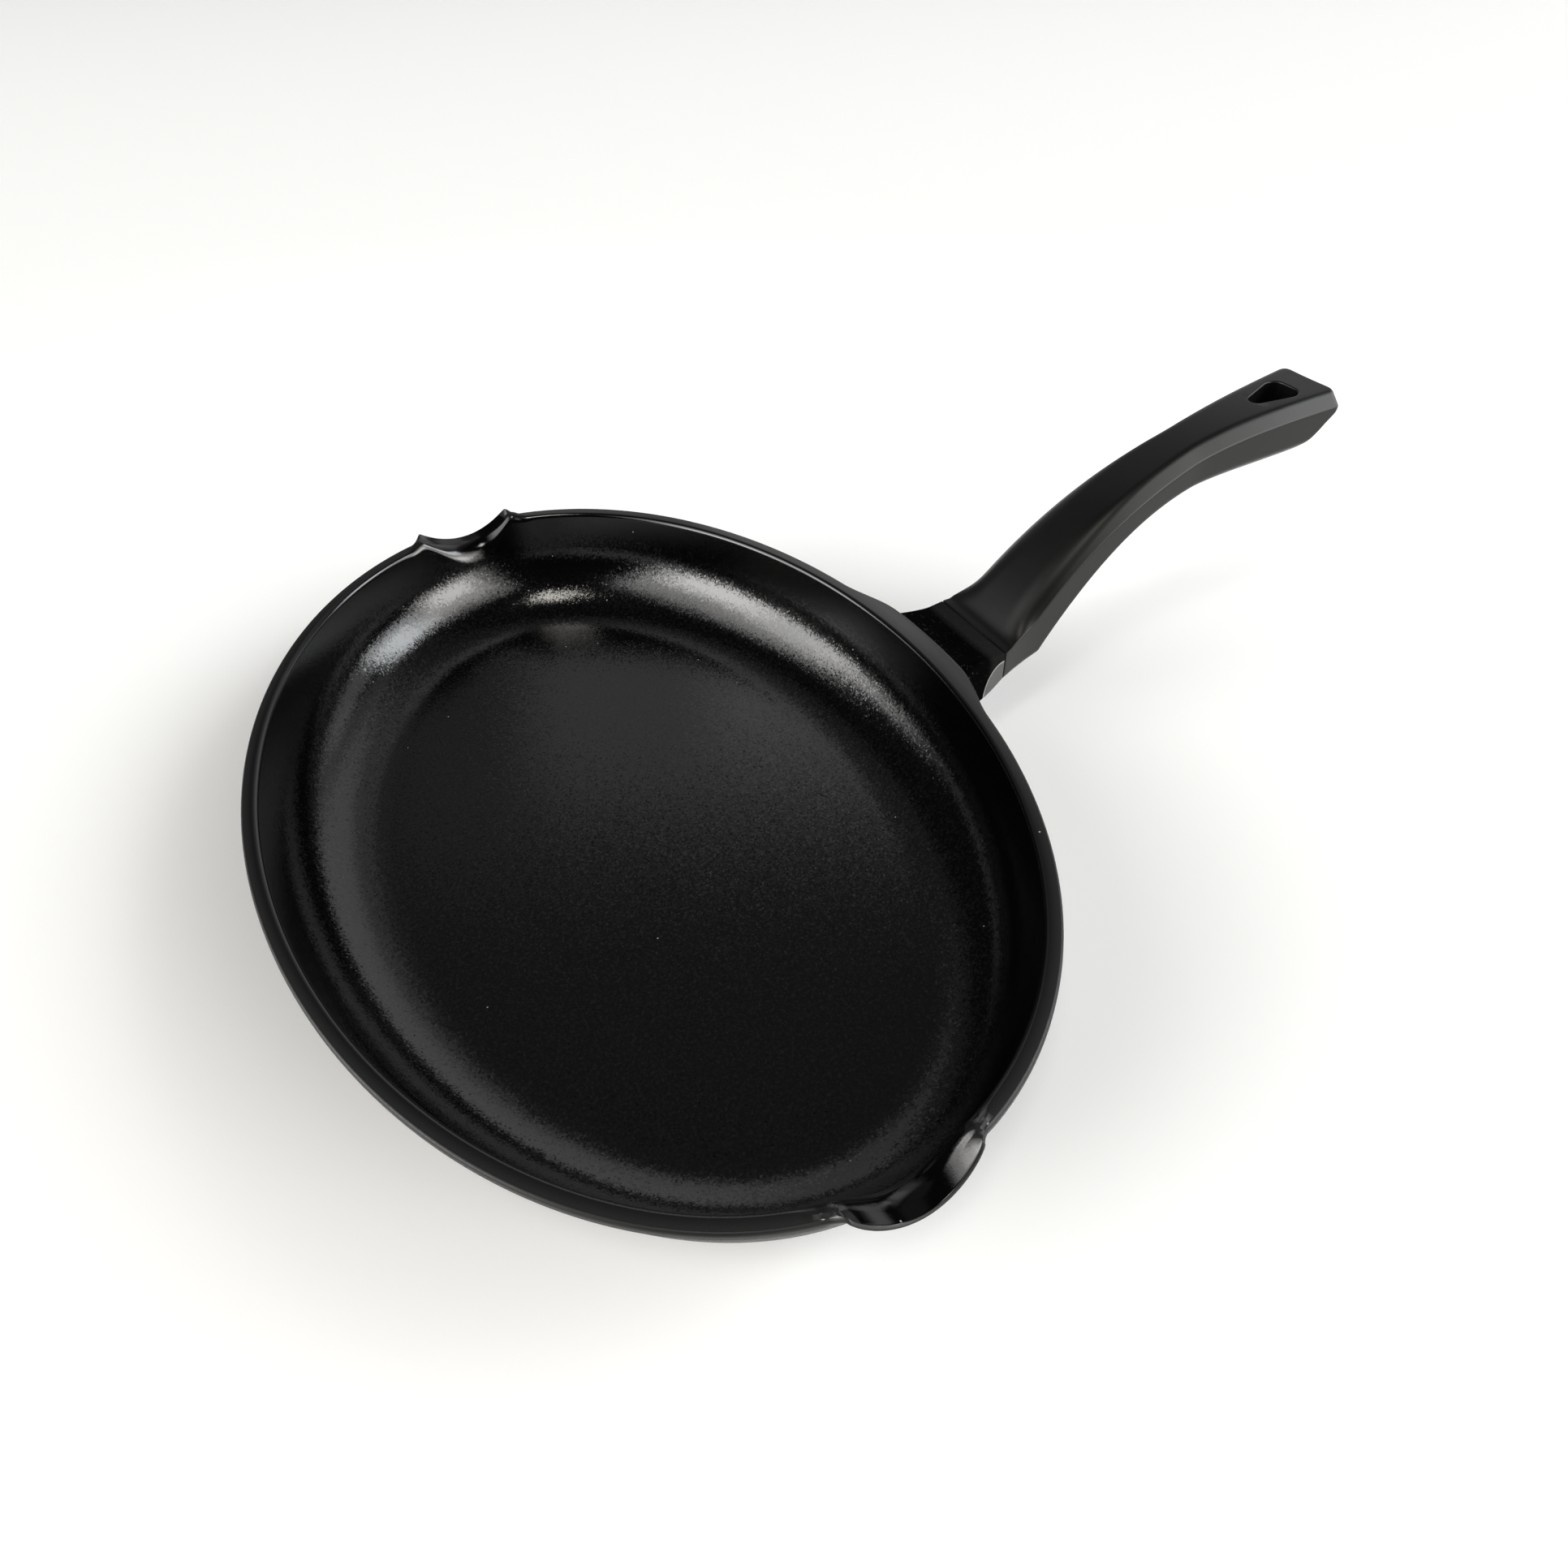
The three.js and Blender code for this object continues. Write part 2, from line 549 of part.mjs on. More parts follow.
function handleGrip() {
  const tailEdge = GRIP_LENGTH - GRIP_TAIL_CORNER;
  const distances = stations(
    [CLEARANCE, GRIP_SHELF, GRIP_FRONT_LENGTH + BELLY_LENGTH, tailStart, tailEdge, GRIP_LENGTH],
    [GRIP_SHELF_STEPS, GRIP_FRONT_STEPS, GRIP_SWEEP_STEPS, GRIP_TAIL_STEPS, GRIP_CORNER_STEPS],
  );
  const whole = toSolid(stack(distances.map(gripSection)));
  const socket = box(
    PARTING_X - OVERCUT,
    PARTING_X + TONGUE_LENGTH + CLEARANCE,
    TONGUE_WIDTH / 2 + CLEARANCE,
    TONGUE_BOTTOM - CLEARANCE,
    TONGUE_TOP + CLEARANCE,
  );
  const counterbore = bar(SCREW_X, 0, WASHER_DIAMETER + 2 * CLEARANCE, 0, SEAT_Z);
  const bushBore = bar(SCREW_X, 0, BUSH_DIAMETER + 2 * CLEARANCE, 0, TONGUE_BOTTOM);
  return whole.subtract(socket).subtract(counterbore).subtract(bushBore).subtract(hangingHole());
}

// Screw with a rounded head and a cross recess, head down
function handleScrew() {
  const radius = HEAD_DIAMETER / 2;
  const shank = SCREW_DIAMETER / 2;
  const bottom = HEAD_TOP - HEAD_HEIGHT;
  const tip = TONGUE_TOP - SCREW_TIP_SETBACK;
  const dome = stations([0, Math.PI / 2], [DOME_STEPS]).map((turn) => [
    radius - HEAD_DOME_WIDTH * (1 - Math.sin(turn)),
    bottom + HEAD_DOME_HEIGHT * (1 - Math.cos(turn)),
  ]);
  const profile = [
    [0, bottom],
    ...dome,
    [radius, HEAD_TOP],
    [shank, HEAD_TOP],
    [shank, tip - SCREW_TIP_BEVEL],
    [shank - SCREW_TIP_BEVEL, tip],
    [0, tip],
  ];
  const points = profile.map(([r, z]) => new THREE.Vector2(r, z));
  const lathe = new THREE.LatheGeometry(points, ROUND_SIDES).rotateX(Math.PI / 2).translate(SCREW_X, 0, 0);
  const recessTop = bottom + RECESS_DEPTH;
  const span = RECESS_SPAN / 2;
  const slit = RECESS_WIDTH / 2;
  const along = box(SCREW_X - span, SCREW_X + span, slit, bottom - OVERCUT, recessTop);
  const across = box(SCREW_X - slit, SCREW_X + slit, span, bottom - OVERCUT, recessTop);
  return toSolid(lathe).subtract(along).subtract(across);
}

// Split spring washer
function lockWasher() {
  const shape = new THREE.Shape();
  shape.absarc(0, 0, LOCK_WASHER_DIAMETER / 2, LOCK_WASHER_SLOT / 2, 2 * Math.PI - LOCK_WASHER_SLOT / 2);
  shape.absarc(0, 0, WASHER_BORE / 2, 2 * Math.PI - LOCK_WASHER_SLOT / 2, LOCK_WASHER_SLOT / 2, true);
  const options = { depth: LOCK_WASHER_THICKNESS, bevelEnabled: false, curveSegments: ROUND_SIDES };
  const ring = new THREE.ExtrudeGeometry(shape, options);
  return toSolid(ring.translate(SCREW_X, 0, LOCK_WASHER_TOP - LOCK_WASHER_THICKNESS));
}

const finishes = {
  coatedCasting: { color: 0x121314, roughness: 0.38, metalness: 0.1 },
  softTouch: { color: 0x232425, roughness: 0.72, metalness: 0 },
  stainless: { color: 0xb4b5b5, roughness: 0.35, metalness: 1 },
  zincSteel: { color: 0xa3a6a8, roughness: 0.42, metalness: 1 },
  brass: { color: 0xb5975a, roughness: 0.35, metalness: 1 },
};

const pieces = [
  ['pan_body', panBody(), finishes.coatedCasting],
  ['induction_plate', inductionPlate(), finishes.stainless],
  ['handle_grip', handleGrip(), finishes.softTouch],
  ['handle_screw', handleScrew(), finishes.zincSteel],
  ['lock_washer', lockWasher(), finishes.zincSteel],
  [
    'flat_washer',
    sleeve(WASHER_DIAMETER, WASHER_BORE, FLAT_WASHER_TOP - FLAT_WASHER_THICKNESS, FLAT_WASHER_TOP),
    finishes.zincSteel,
  ],
  ['screw_bush', sleeve(BUSH_DIAMETER, WASHER_BORE, SEAT_Z, TONGUE_BOTTOM - CLEARANCE), finishes.zincSteel],
  ['threaded_insert', sleeve(INSERT_DIAMETER, WASHER_BORE, TONGUE_BOTTOM, TONGUE_TOP), finishes.brass],
];

const pan = new THREE.Group();
for (const [name, solid, finish] of pieces) {
  const mesh = new THREE.Mesh(toGeometry(solid), new THREE.MeshStandardMaterial(finish));
  mesh.name = name;
  pan.add(mesh);
}

export default pan;
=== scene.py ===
"""Oval fish pan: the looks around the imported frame. Sizes are in millimetres until a mesh is made."""
import math

import bpy
import numpy as np
from mathutils import Matrix, Vector


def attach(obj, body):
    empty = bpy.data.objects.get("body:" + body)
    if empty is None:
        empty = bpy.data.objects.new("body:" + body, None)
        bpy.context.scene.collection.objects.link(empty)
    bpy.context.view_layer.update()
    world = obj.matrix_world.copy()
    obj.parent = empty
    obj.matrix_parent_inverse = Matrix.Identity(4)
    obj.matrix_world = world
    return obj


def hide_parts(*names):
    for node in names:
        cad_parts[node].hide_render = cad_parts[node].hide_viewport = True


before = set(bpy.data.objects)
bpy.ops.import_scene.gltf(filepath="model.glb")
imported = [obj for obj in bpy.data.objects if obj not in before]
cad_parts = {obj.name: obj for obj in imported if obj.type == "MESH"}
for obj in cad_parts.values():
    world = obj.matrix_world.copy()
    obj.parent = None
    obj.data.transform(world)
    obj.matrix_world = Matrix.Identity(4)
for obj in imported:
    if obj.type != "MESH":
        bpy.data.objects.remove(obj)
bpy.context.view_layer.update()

MM = 0.001
CLEARANCE = 0.3
# How far a cutter runs past the surface that it cuts
CUT_OVERRUN = 2

# Bowl, as in the part's source
RIM_HALF_LENGTH = 180
RIM_HALF_WIDTH = 125
BOWL_DEPTH = 40
BASE_THICKNESS = 5
WALL_THICKNESS = 3.2
WALL_ANGLE = math.radians(77)
FLOOR_FILLET = 31.5
FOOT_ANGLE = math.radians(18)
LIP_WIDTH = 5.3
LIP_HEIGHT = 3.6
LIP_INNER_RADIUS = 1.9
LIP_OUTER_RADIUS = 1.2
LIP_EDGE_SHARE = 0.4
LIP_UNDERCUT = 2
LIP_SWELL_AT_LUG = 4.4
LIP_SWELL_LENGTH = 28
SPOUT_HALF_WIDTH = 19.8
SPOUT_DIP = 7.9
SPOUT_REACH = 4.5
SPOUT_LOWER_REACH = 3.5
SPOUT_LIP_SHARE = 0.8
SPOUT_UNDERCUT_SHARE = 0.66
HORN_HEIGHT = 2.7
HORN_REACH = 1.9
HORN_FADE = 5.5
PLATE_THICKNESS = 2
PLATE_INSET = 11
STUD_DIAMETER = 9
STUD_RINGS = ((0.45, 6), (0.8, 12))

# Lug and tongue
LUG_REACH = 25
LUG_HALF_WIDTH = 20.9
LUG_TOP_DROP = 3.5
LUG_SIDE_HEIGHT = 12
LUG_LOWER_BEVEL = 8
LUG_BLOCK = 9
LUG_VALLEY = 2.5
LUG_GUSSET = 7.5
LUG_GUSSET_LENGTH = 13.5
LUG_FLARE = 2.1
LUG_FLARE_POWER = 1.5
LUG_FLAT_HEIGHT = 16.5
LUG_ROOT_DEPTH = 20
TONGUE_LENGTH = 18
TONGUE_WIDTH = 22
TONGUE_THICKNESS = 6.5
TONGUE_COVER = 2.5
INSERT_DIAMETER = 6.6

# Grip
GRIP_LENGTH = 161.5
GRIP_RISE = 56.7
GRIP_SHELF = 4
GRIP_SHELF_RISE = 0.9
GRIP_START_ANGLE = math.radians(48)
GRIP_END_ANGLE = math.radians(2.2)
GRIP_START_PULL = 0.47
GRIP_END_PULL = 0.3
GRIP_SHOULDER_HALF_WIDTH = 17.2
GRIP_WAIST_HALF_WIDTH = 13.1
GRIP_TAIL_HALF_WIDTH = 17.7
GRIP_SHOULDER_AT = 0.133
GRIP_WAIST_FROM = 0.5
GRIP_WAIST_TO = 0.66
GRIP_TAIL_CORNER = 2.6
GRIP_CHAMFER = 4.8
GRIP_FRONT_LENGTH = 15
GRIP_LOWER_BEVEL = 4.5
GRIP_BEVEL_FADE = 60
EDGE_BREAK = 0.3
BELLY_LENGTH = 20
BELLY_RISE = 3
BELLY_ANGLE = math.radians(50)
BELLY_END_ANGLE = math.radians(5.6)
BELLY_START_PULL = 0.463
BELLY_END_PULL = 0.335
TAIL_DEPTH = 17
TAIL_EDGE_DEPTH = 5.3
TAIL_CUT_LENGTH = 11
HOLE_LENGTH = 20.6
HOLE_NARROW_RADIUS = 3.4
HOLE_CORNER_RADIUS = 4.6
HOLE_HALF_WIDTH = 7.2
HOLE_TAIL_DISTANCE = 11.4
SCREW_SETBACK = 10
WASHER_DIAMETER = 9
BUSH_DIAMETER = 7
SEAT_WALL = 2.8

# Places worked out from the sizes above
RIM_HEIGHT = BASE_THICKNESS + BOWL_DEPTH
PARTING_X = RIM_HALF_WIDTH + LUG_REACH
LUG_TOP = RIM_HEIGHT - LUG_TOP_DROP
LUG_SIDE_LOW = LUG_TOP - LUG_SIDE_HEIGHT
FLAT_LOW = LUG_SIDE_LOW - LUG_GUSSET
WALL_LENGTH = (BOWL_DEPTH - FLOOR_FILLET * (1 - math.cos(WALL_ANGLE))) / math.sin(WALL_ANGLE)
FLOOR_INSET = LIP_WIDTH + WALL_LENGTH * math.cos(WALL_ANGLE) + FLOOR_FILLET * math.sin(WALL_ANGLE)
FILLET_CENTRE_Z = BASE_THICKNESS + FLOOR_FILLET
RECESS_INSET = FLOOR_INSET + PLATE_INSET
RECESS_HALF_LENGTH = RIM_HALF_LENGTH - RECESS_INSET
RECESS_HALF_WIDTH = RIM_HALF_WIDTH - RECESS_INSET
RECESS_TOP = PLATE_THICKNESS + CLEARANCE
TONGUE_TOP = LUG_TOP - TONGUE_COVER
TONGUE_BOTTOM = TONGUE_TOP - TONGUE_THICKNESS
SCREW_X = PARTING_X + SCREW_SETBACK
SEAT_Z = TONGUE_BOTTOM - CLEARANCE - SEAT_WALL
TAIL_START = GRIP_LENGTH - TAIL_CUT_LENGTH
TAIL_TOP = RIM_HEIGHT + GRIP_RISE

# Finer rounding of edges than the solids have
CORNER_SHARE = 0.45
GRIP_EDGE_RADII = (1.6, 0.6, 1.4, 1.4)
GRIP_CHAMFER_FADE = (1, 5)
GRIP_FRONT_EDGE_RADIUS = 5.5
GRIP_FRONT_EDGE_SHARE = 0.85
GRIP_FRONT_SIDE_RADIUS = 0.5
GRIP_FRONT_EDGE_FADE = (20, 75)
GRIP_FACE_BREAK = 0.25
GRIP_TAIL_ROUND = 0.9
LUG_EDGE_RADIUS = 1.0
LUG_CORNER = 1.0
LUG_CORNER_ON_BEVEL = 0.7
HOLE_ROUND = 0.6
BORE_ROUND = 0.5
SPOUT_BEND_RADIUS = 9.0
SPOUT_BEND_FADE = (4, 19)
HORN_BEND_RADIUS = 4.5
HORN_BEND_FADE = 14
SPOUT_SOFTNESS = 1.6
SPOUT_FLARE = 1.1
HORN_SOFTNESS = 0.7
LUG_ROUND_OVER = 2.5
SHELF_SOFTNESS = 1.2
CREASE_SOFTNESS = 2.2
TAIL_SOFTNESS = 2.0
PIECE_SHARP_ANGLE = math.radians(40)
NODE_SHARP_ANGLE = math.radians(30)

# Steps along a curve, and shares of straight stretches and of corners where points are set
CURVE_STEPS = 2000
FLAT_SHARES = (0.1, 0.5, 0.9)
BEVEL_SHARES = (0.15, 0.5, 0.85)
SIDE_SHARES = (0.08, 0.36, 0.64, 0.92)
WALL_SHARES = (0.04, 0.3, 0.6, 0.85, 0.97)
LIP_SHARES = (0.1, 0.4, 0.7, 0.92)
LIP_EDGE_SHARES = (0.25, 0.75)
FLOOR_SHARES = (0.12, 0.35, 0.6, 0.85, 0.985)
RECESS_SHARES = (0.99, 0.6, 0.2)
CORNER_SHARES = (0, 0.25, 0.5, 0.75, 1)

# Finishes: heights above the table, depths below the rim and distances from the parting, and grain in metres
# Depths below the rim over which the lip's painted light fades in
LIP_LIGHT_FADE = (0.6, 0.2)
# Distances back from the parting over which the lug's painted light fades in
PARTING_LIGHT_FADE = (8, 5)
# Distances back from the parting over which the lug's painted glints dim
GLINT_FADE = (17, 13)
FLAKE_TILT = 0.065
# Heights between which the painted glint speckle fades out
GLINT_SPECKLED_BELOW = 10
BLACK_ABOVE = 22
FLAKY_BELOW = 26
SMOOTH_ABOVE = 38
FINE_GRAIN = 0.0002
COARSE_GRAIN = 0.0003
NOISE_LOW = 0.3
NOISE_HIGH = 0.7

# Slots of the casting and of the grip, and how their faces are told apart
INSIDE, OUTSIDE, FACET, BARE, LUG = range(5)
GRIP_SKIN, HOLE_WALL = range(2)
SLOT_MARGIN = 0.1
HOLE_MARGIN = 0.05
FACET_LOOKS_ASIDE = 0.8
LUG_LOOKS_UP = -0.4
RECESS_ENDS_AT = 1.002
LUG_STARTS_AT = 1 + (LIP_SWELL_AT_LUG - SLOT_MARGIN) / RIM_HALF_WIDTH
OUTSIDE_LOOKS_DOWN = -0.05
OUTSIDE_LOOKS_OUT = 0.2
WALL_LOOKS_ASIDE = 0.3

# Camera, fitted to the photo
CAMERA_AZIMUTH = math.radians(-27.563)
CAMERA_ELEVATION = math.radians(44.396)
CAMERA_ROLL = math.radians(-2.854)
CAMERA_DISTANCE = 382.05
CAMERA_SIDE = -55.951
CAMERA_LIFT = 9.567
FOCAL_PIXELS = 1355.56
IMAGE_PIXELS = 1932
SENSOR = 36

# Light and floor
FLOOR_SPAN = 12000
FLOOR_DROP = 0.3
LAMP_DISTANCE = 9.0
CARD_DISTANCE = 0.58
LIGHT_LEVEL = 1.12

# Each lamp has a name, a tint, a distance in metres and panels that overlap and add up.
# A panel has a range of azimuths from +Y towards +X, a range of elevations and a radiance.
LAMPS = (
    ("window_left", (1.0, 0.99, 0.97), LAMP_DISTANCE, (
        ((-96, -74), (8, 27), 3.1),
        ((-102, -55), (3, 34), 2.2),
        ((-109, -54), (2, 47), 1.25),
        ((-104, -58), (2, 54), 0.95),
        ((-64, -46), (3, 20), 1.7),
    )),
    ("window_right", (0.94, 0.98, 1.0), LAMP_DISTANCE, (
        ((98, 118), (20, 42), 3.6),
        ((94, 125), (10, 46), 3.0),
    )),
    ("window_behind", (1.0, 0.98, 0.95), LAMP_DISTANCE, (
        ((136, 162), (12, 32), 3.75),
        ((127, 170), (5, 46), 1.9),
        ((122, 180), (2, 56), 1.3),
    )),
    ("strip_above", (1.0, 0.97, 0.88), LAMP_DISTANCE, (
        ((-152, -115), (64, 77), 7.5),
    )),
    ("card_back", (1, 1, 1), CARD_DISTANCE, (
        ((28, 48), (4, 40), 0.28),
        ((10, 64), (10, 46), 0.22),
        ((-4, 68), (12, 52), 0.06),
    )),
    ("card_side", (1, 1, 1), CARD_DISTANCE, (
        ((58, 94), (4, 28), 0.55),
    )),
    ("card_high", (1, 1, 1), LAMP_DISTANCE, (
        ((-10, 100), (44, 72), 0.06),
    )),
)


def ramp(x, low, high):
    t = np.clip((x - low) / (high - low), 0, 1)
    return t * t * (3 - 2 * t)


def lerp(a, b, share):
    return a + (b - a) * share


def stations(stops, counts):
    """Even steps from the first stop to the last, with a count for each stretch."""
    found = [stops[0]]
    for k, count in enumerate(counts):
        for step in range(1, count + 1):
            found.append(lerp(stops[k], stops[k + 1], step / count))
    return found


def make_object(name, points, faces):
    mesh = bpy.data.meshes.new(name)
    mesh.from_pydata([tuple(c * MM for c in p) for p in points], [], faces)
    mesh.update()
    thing = bpy.data.objects.new(name, mesh)
    bpy.context.scene.collection.objects.link(thing)
    return thing


def stack(name, rings):
    """A closed body through rings of equal point counts, with a fan over the first and the last ring."""
    count = len(rings[0])
    points = [p for ring in rings for p in ring]
    first = len(points)
    points.append(np.mean(np.array(rings[0]), axis=0))
    points.append(np.mean(np.array(rings[-1]), axis=0))
    faces = []
    last = (len(rings) - 1) * count
    for j in range(count):
        after = (j + 1) % count
        for i in range(len(rings) - 1):
            low = i * count
            high = low + count
            faces.append((low + j, low + after, high + after, high + j))
        faces.append((first, after, j))
        faces.append((first + 1, last + j, last + after))
    return facing_out(make_object(name, points, faces))


def facing_out(thing):
    """Turns the faces of a closed mesh outwards."""
    mesh = thing.data
    mesh.calc_loop_triangles()
    spots = np.array([v.co for v in mesh.vertices])
    corners = np.array([t.vertices for t in mesh.loop_triangles])
    a, b, c = (spots[corners[:, k]] for k in range(3))
    if (a * np.cross(b, c)).sum() < 0:
        mesh.flip_normals()
    return thing


def combine(target, others, how):
    """Joins or cuts solids; the others are used up."""
    for other in others:
        cut = target.modifiers.new("cut", "BOOLEAN")
        cut.operation = how
        cut.solver = "MANIFOLD"
        cut.object = other
        bpy.context.view_layer.update()
        result = target.evaluated_get(bpy.context.evaluated_depsgraph_get())
        shape = bpy.data.meshes.new_from_object(result)
        target.modifiers.clear()
        target.data = shape
        bpy.data.objects.remove(other)
    return target


def box(name, x0, x1, half_width, z0, z1):
    outline = ((x0, -half_width), (x1, -half_width), (x1, half_width), (x0, half_width))
    return stack(name, [[(x, y, z) for x, y in outline] for z in (z0, z1)])


def circle(x, y, radius, sides):
    turns = np.linspace(0, 2 * math.pi, sides, endpoint=False)
    return [(x + radius * math.cos(t), y + radius * math.sin(t)) for t in turns]


def bar(name, x, y, diameter, z0, z1, sides=64):
    outline = circle(x, y, diameter / 2, sides)
    return stack(name, [[(px, py, z) for px, py in outline] for z in (z0, z1)])


# The bowl
def oval_point(angle, inset, z):
    """A point inside the rim's oval by an inset, square to the oval."""
    normal = np.array([math.cos(angle) / RIM_HALF_WIDTH, math.sin(angle) / RIM_HALF_LENGTH])
    normal /= np.linalg.norm(normal)
    x = RIM_HALF_WIDTH * math.cos(angle) - inset * normal[0]
    y = RIM_HALF_LENGTH * math.sin(angle) - inset * normal[1]
    return (x, y, z)


def oval_angles(spout_steps, horn_steps, far_steps, side_steps, lug_steps):
    """Angles round the oval from the +Y spout, closer together where the rim changes."""
    spout_end = SPOUT_HALF_WIDTH + HORN_FADE
    across = stations(
        [spout_end, SPOUT_HALF_WIDTH, -SPOUT_HALF_WIDTH, -spout_end],
        [horn_steps, spout_steps, horn_steps],
    )
    spout = [math.acos(x / RIM_HALF_WIDTH) for x in across]
    start, end = spout[0], spout[-1]
    far = stations([end, 2 * math.pi - end], [far_steps])[1:-1]
    near = [a + math.pi for a in spout]
    swell = math.asin((LUG_HALF_WIDTH + LIP_SWELL_LENGTH) / RIM_HALF_LENGTH)
    lug_side = stations([-start, -swell, swell, start], [side_steps, lug_steps, side_steps])[1:-1]
    return spout + far + near + lug_side


def rim_edge(angle):
    """How far the rim's edge rises and reaches out, and how far the lip's lower edge reaches."""
    x = RIM_HALF_WIDTH * math.cos(angle)
    y = RIM_HALF_LENGTH * math.sin(angle)
    across = abs(x)
    if across <= SPOUT_HALF_WIDTH:
        trough = 1 - (across / SPOUT_HALF_WIDTH) ** 2
        rise = HORN_HEIGHT - (HORN_HEIGHT + SPOUT_DIP) * trough
        reach = HORN_REACH + (SPOUT_REACH - HORN_REACH) * math.sqrt(trough)
        return rise, reach, SPOUT_LOWER_REACH * trough
    if across < SPOUT_HALF_WIDTH + HORN_FADE:
        left = (1 - (across - SPOUT_HALF_WIDTH) / HORN_FADE) ** 2
        return HORN_HEIGHT * left, HORN_REACH * left, 0
    if x < 0:
        return 0, 0, 0
    swell = LIP_SWELL_AT_LUG * (1 - ramp(abs(y) - LUG_HALF_WIDTH, 0, LIP_SWELL_LENGTH))
    return 0, swell, swell


def soft(function, x, reach):
    """A function averaged over a short reach to either side."""
    offsets = np.linspace(-2, 2, 17)
    weights = np.exp(-offsets ** 2 / 2)
    return float(np.dot(weights, [function(x + reach * o) for o in offsets]) / weights.sum())


def spout_bend(across):
    """The inner bend's radius: wide in the spout's middle, the lip's own beyond its horns."""
    trough = lerp(SPOUT_BEND_RADIUS, HORN_BEND_RADIUS, ramp(across, *SPOUT_BEND_FADE))
    past_horn = ramp(across, SPOUT_HALF_WIDTH, SPOUT_HALF_WIDTH + HORN_BEND_FADE)
    return lerp(trough, LIP_INNER_RADIUS, past_horn)


def soft_rise(x, reach):
    return soft(lambda at: rim_edge(math.acos(at / RIM_HALF_WIDTH))[0], x, reach)


def lip_rises(angle):
    """The rise of the lip's inner edge, where the spout is wider and its horns blunter, and outer edge."""
    x = RIM_HALF_WIDTH * math.cos(angle)
    if abs(x) > SPOUT_FLARE * (SPOUT_HALF_WIDTH + HORN_FADE) + 2 * SPOUT_SOFTNESS:
        return 0, 0
    return soft_rise(x / SPOUT_FLARE, SPOUT_SOFTNESS), soft_rise(x, HORN_SOFTNESS)


def wall_inset(z):
    return LIP_WIDTH + (RIM_HEIGHT - z) / math.tan(WALL_ANGLE)


def fillet_points(radius, start, end, steps):
    return [
        (FLOOR_INSET - radius * math.sin(t), FILLET_CENTRE_Z - radius * math.cos(t))
        for t in stations([start, end], [steps])
    ]


def corner(centre, radius, start, end, steps):
    return [
        (centre[0] + radius * math.cos(t), centre[1] + radius * math.sin(t))
        for t in stations([math.radians(start), math.radians(end)], [steps])
    ]


def between(a, b, shares):
    return [(lerp(a[0], b[0], s), lerp(a[1], b[1], s)) for s in shares]


def turn_corner(a, tip, b, shares):
    """Points on a curve from a to b that heads for the tip of the corner between them."""
    return [
        tuple((1 - t) ** 2 * a[i] + 2 * t * (1 - t) * tip[i] + t ** 2 * b[i] for i in (0, 1))
        for t in shares
    ]


def bowl_section(angle):
    """Pairs of inset and height, from the floor's edge over the lip to the plate's recess."""
    _, reach, low_reach = rim_edge(angle)
    inner, rise = lip_rises(angle)
    top = RIM_HEIGHT + rise
    dip = max(0, -rise)
    inside = fillet_points(FLOOR_FILLET, 0, WALL_ANGLE, steps=26)
    inner_top = RIM_HEIGHT + inner
    radius = spout_bend(abs(RIM_HALF_WIDTH * math.cos(angle)))
    bend_inset = wall_inset(inner_top) - radius * math.tan(WALL_ANGLE / 2)
    bend = [
        (bend_inset + radius * math.sin(t), inner_top - radius * (1 - math.cos(t)))
        for t in stations([WALL_ANGLE, 0], [10])
    ]
    lip_low = RIM_HEIGHT - LIP_HEIGHT + max(rise, SPOUT_LIP_SHARE * rise)
    edge = min(LIP_OUTER_RADIUS, LIP_EDGE_SHARE * (top - lip_low))
    upper = corner((edge - reach, top - edge), edge, start=90, end=180, steps=6)
    lower = corner((edge - low_reach, lip_low + edge), edge, start=180, end=270, steps=6)
    outer = fillet_points(FLOOR_FILLET + WALL_THICKNESS, WALL_ANGLE, FOOT_ANGLE, steps=12)
    under_lip = max(lip_low - LIP_UNDERCUT - SPOUT_UNDERCUT_SHARE * dip, outer[0][1] + CLEARANCE)
    under = (wall_inset(under_lip) - WALL_THICKNESS / math.sin(WALL_ANGLE), under_lip)
    foot_inset, foot_z = outer[-1]
    foot = (foot_inset + foot_z / math.tan(FOOT_ANGLE), 0)
    recess = (RECESS_INSET, 0)
    return [
        *inside,
        *between(inside[-1], bend[0], WALL_SHARES),
        *bend,
        *between(bend[-1], upper[0], LIP_SHARES),
        *upper,
        *between(upper[-1], lower[0], LIP_EDGE_SHARES),
        *lower,
        *between(lower[-1], under, FLAT_SHARES),
        under,
        *between(under, outer[0], FLAT_SHARES),
        *outer,
        *between(outer[-1], foot, BEVEL_SHARES),
        foot,
        *between(foot, recess, FLAT_SHARES),
        recess,
        (RECESS_INSET, RECESS_TOP),
    ]


def shrunk(ring, shares):
    """Flat rings towards the middle of a ring."""
    return [[(x * s, y * s, z) for x, y, z in ring] for s in shares]


def bowl():
    angles = oval_angles(spout_steps=84, horn_steps=12, far_steps=200, side_steps=70, lug_steps=110)
    sections = [bowl_section(a) for a in angles]
    rings = [
        [oval_point(a, *section[k]) for a, section in zip(angles, sections)]
        for k in range(len(sections[0]))
    ]
    floor = shrunk(rings[0], FLOOR_SHARES)
    recess = shrunk(rings[-1], RECESS_SHARES)
    return stack("pan_casting", floor + rings + recess)


def bowl_room():
    """The space inside the bowl, down to the middle of its wall, that keeps the lug out of it."""
    half = WALL_THICKNESS / 2
    section = fillet_points(FLOOR_FILLET + half, 0, WALL_ANGLE, steps=12)
    section.append((wall_inset(RIM_HEIGHT + LIP_HEIGHT) - half, RIM_HEIGHT + LIP_HEIGHT))
    angles = np.linspace(0, 2 * math.pi, 160, endpoint=False)
    return stack("room", [[oval_point(a, *point) for a in angles] for point in section])


# The lug
def facet_top(back):
    """The arc over the lug's machined flat."""
    return FLAT_LOW + LUG_FLAT_HEIGHT * math.sqrt(max(0, 1 - (back / LUG_BLOCK) ** 2))


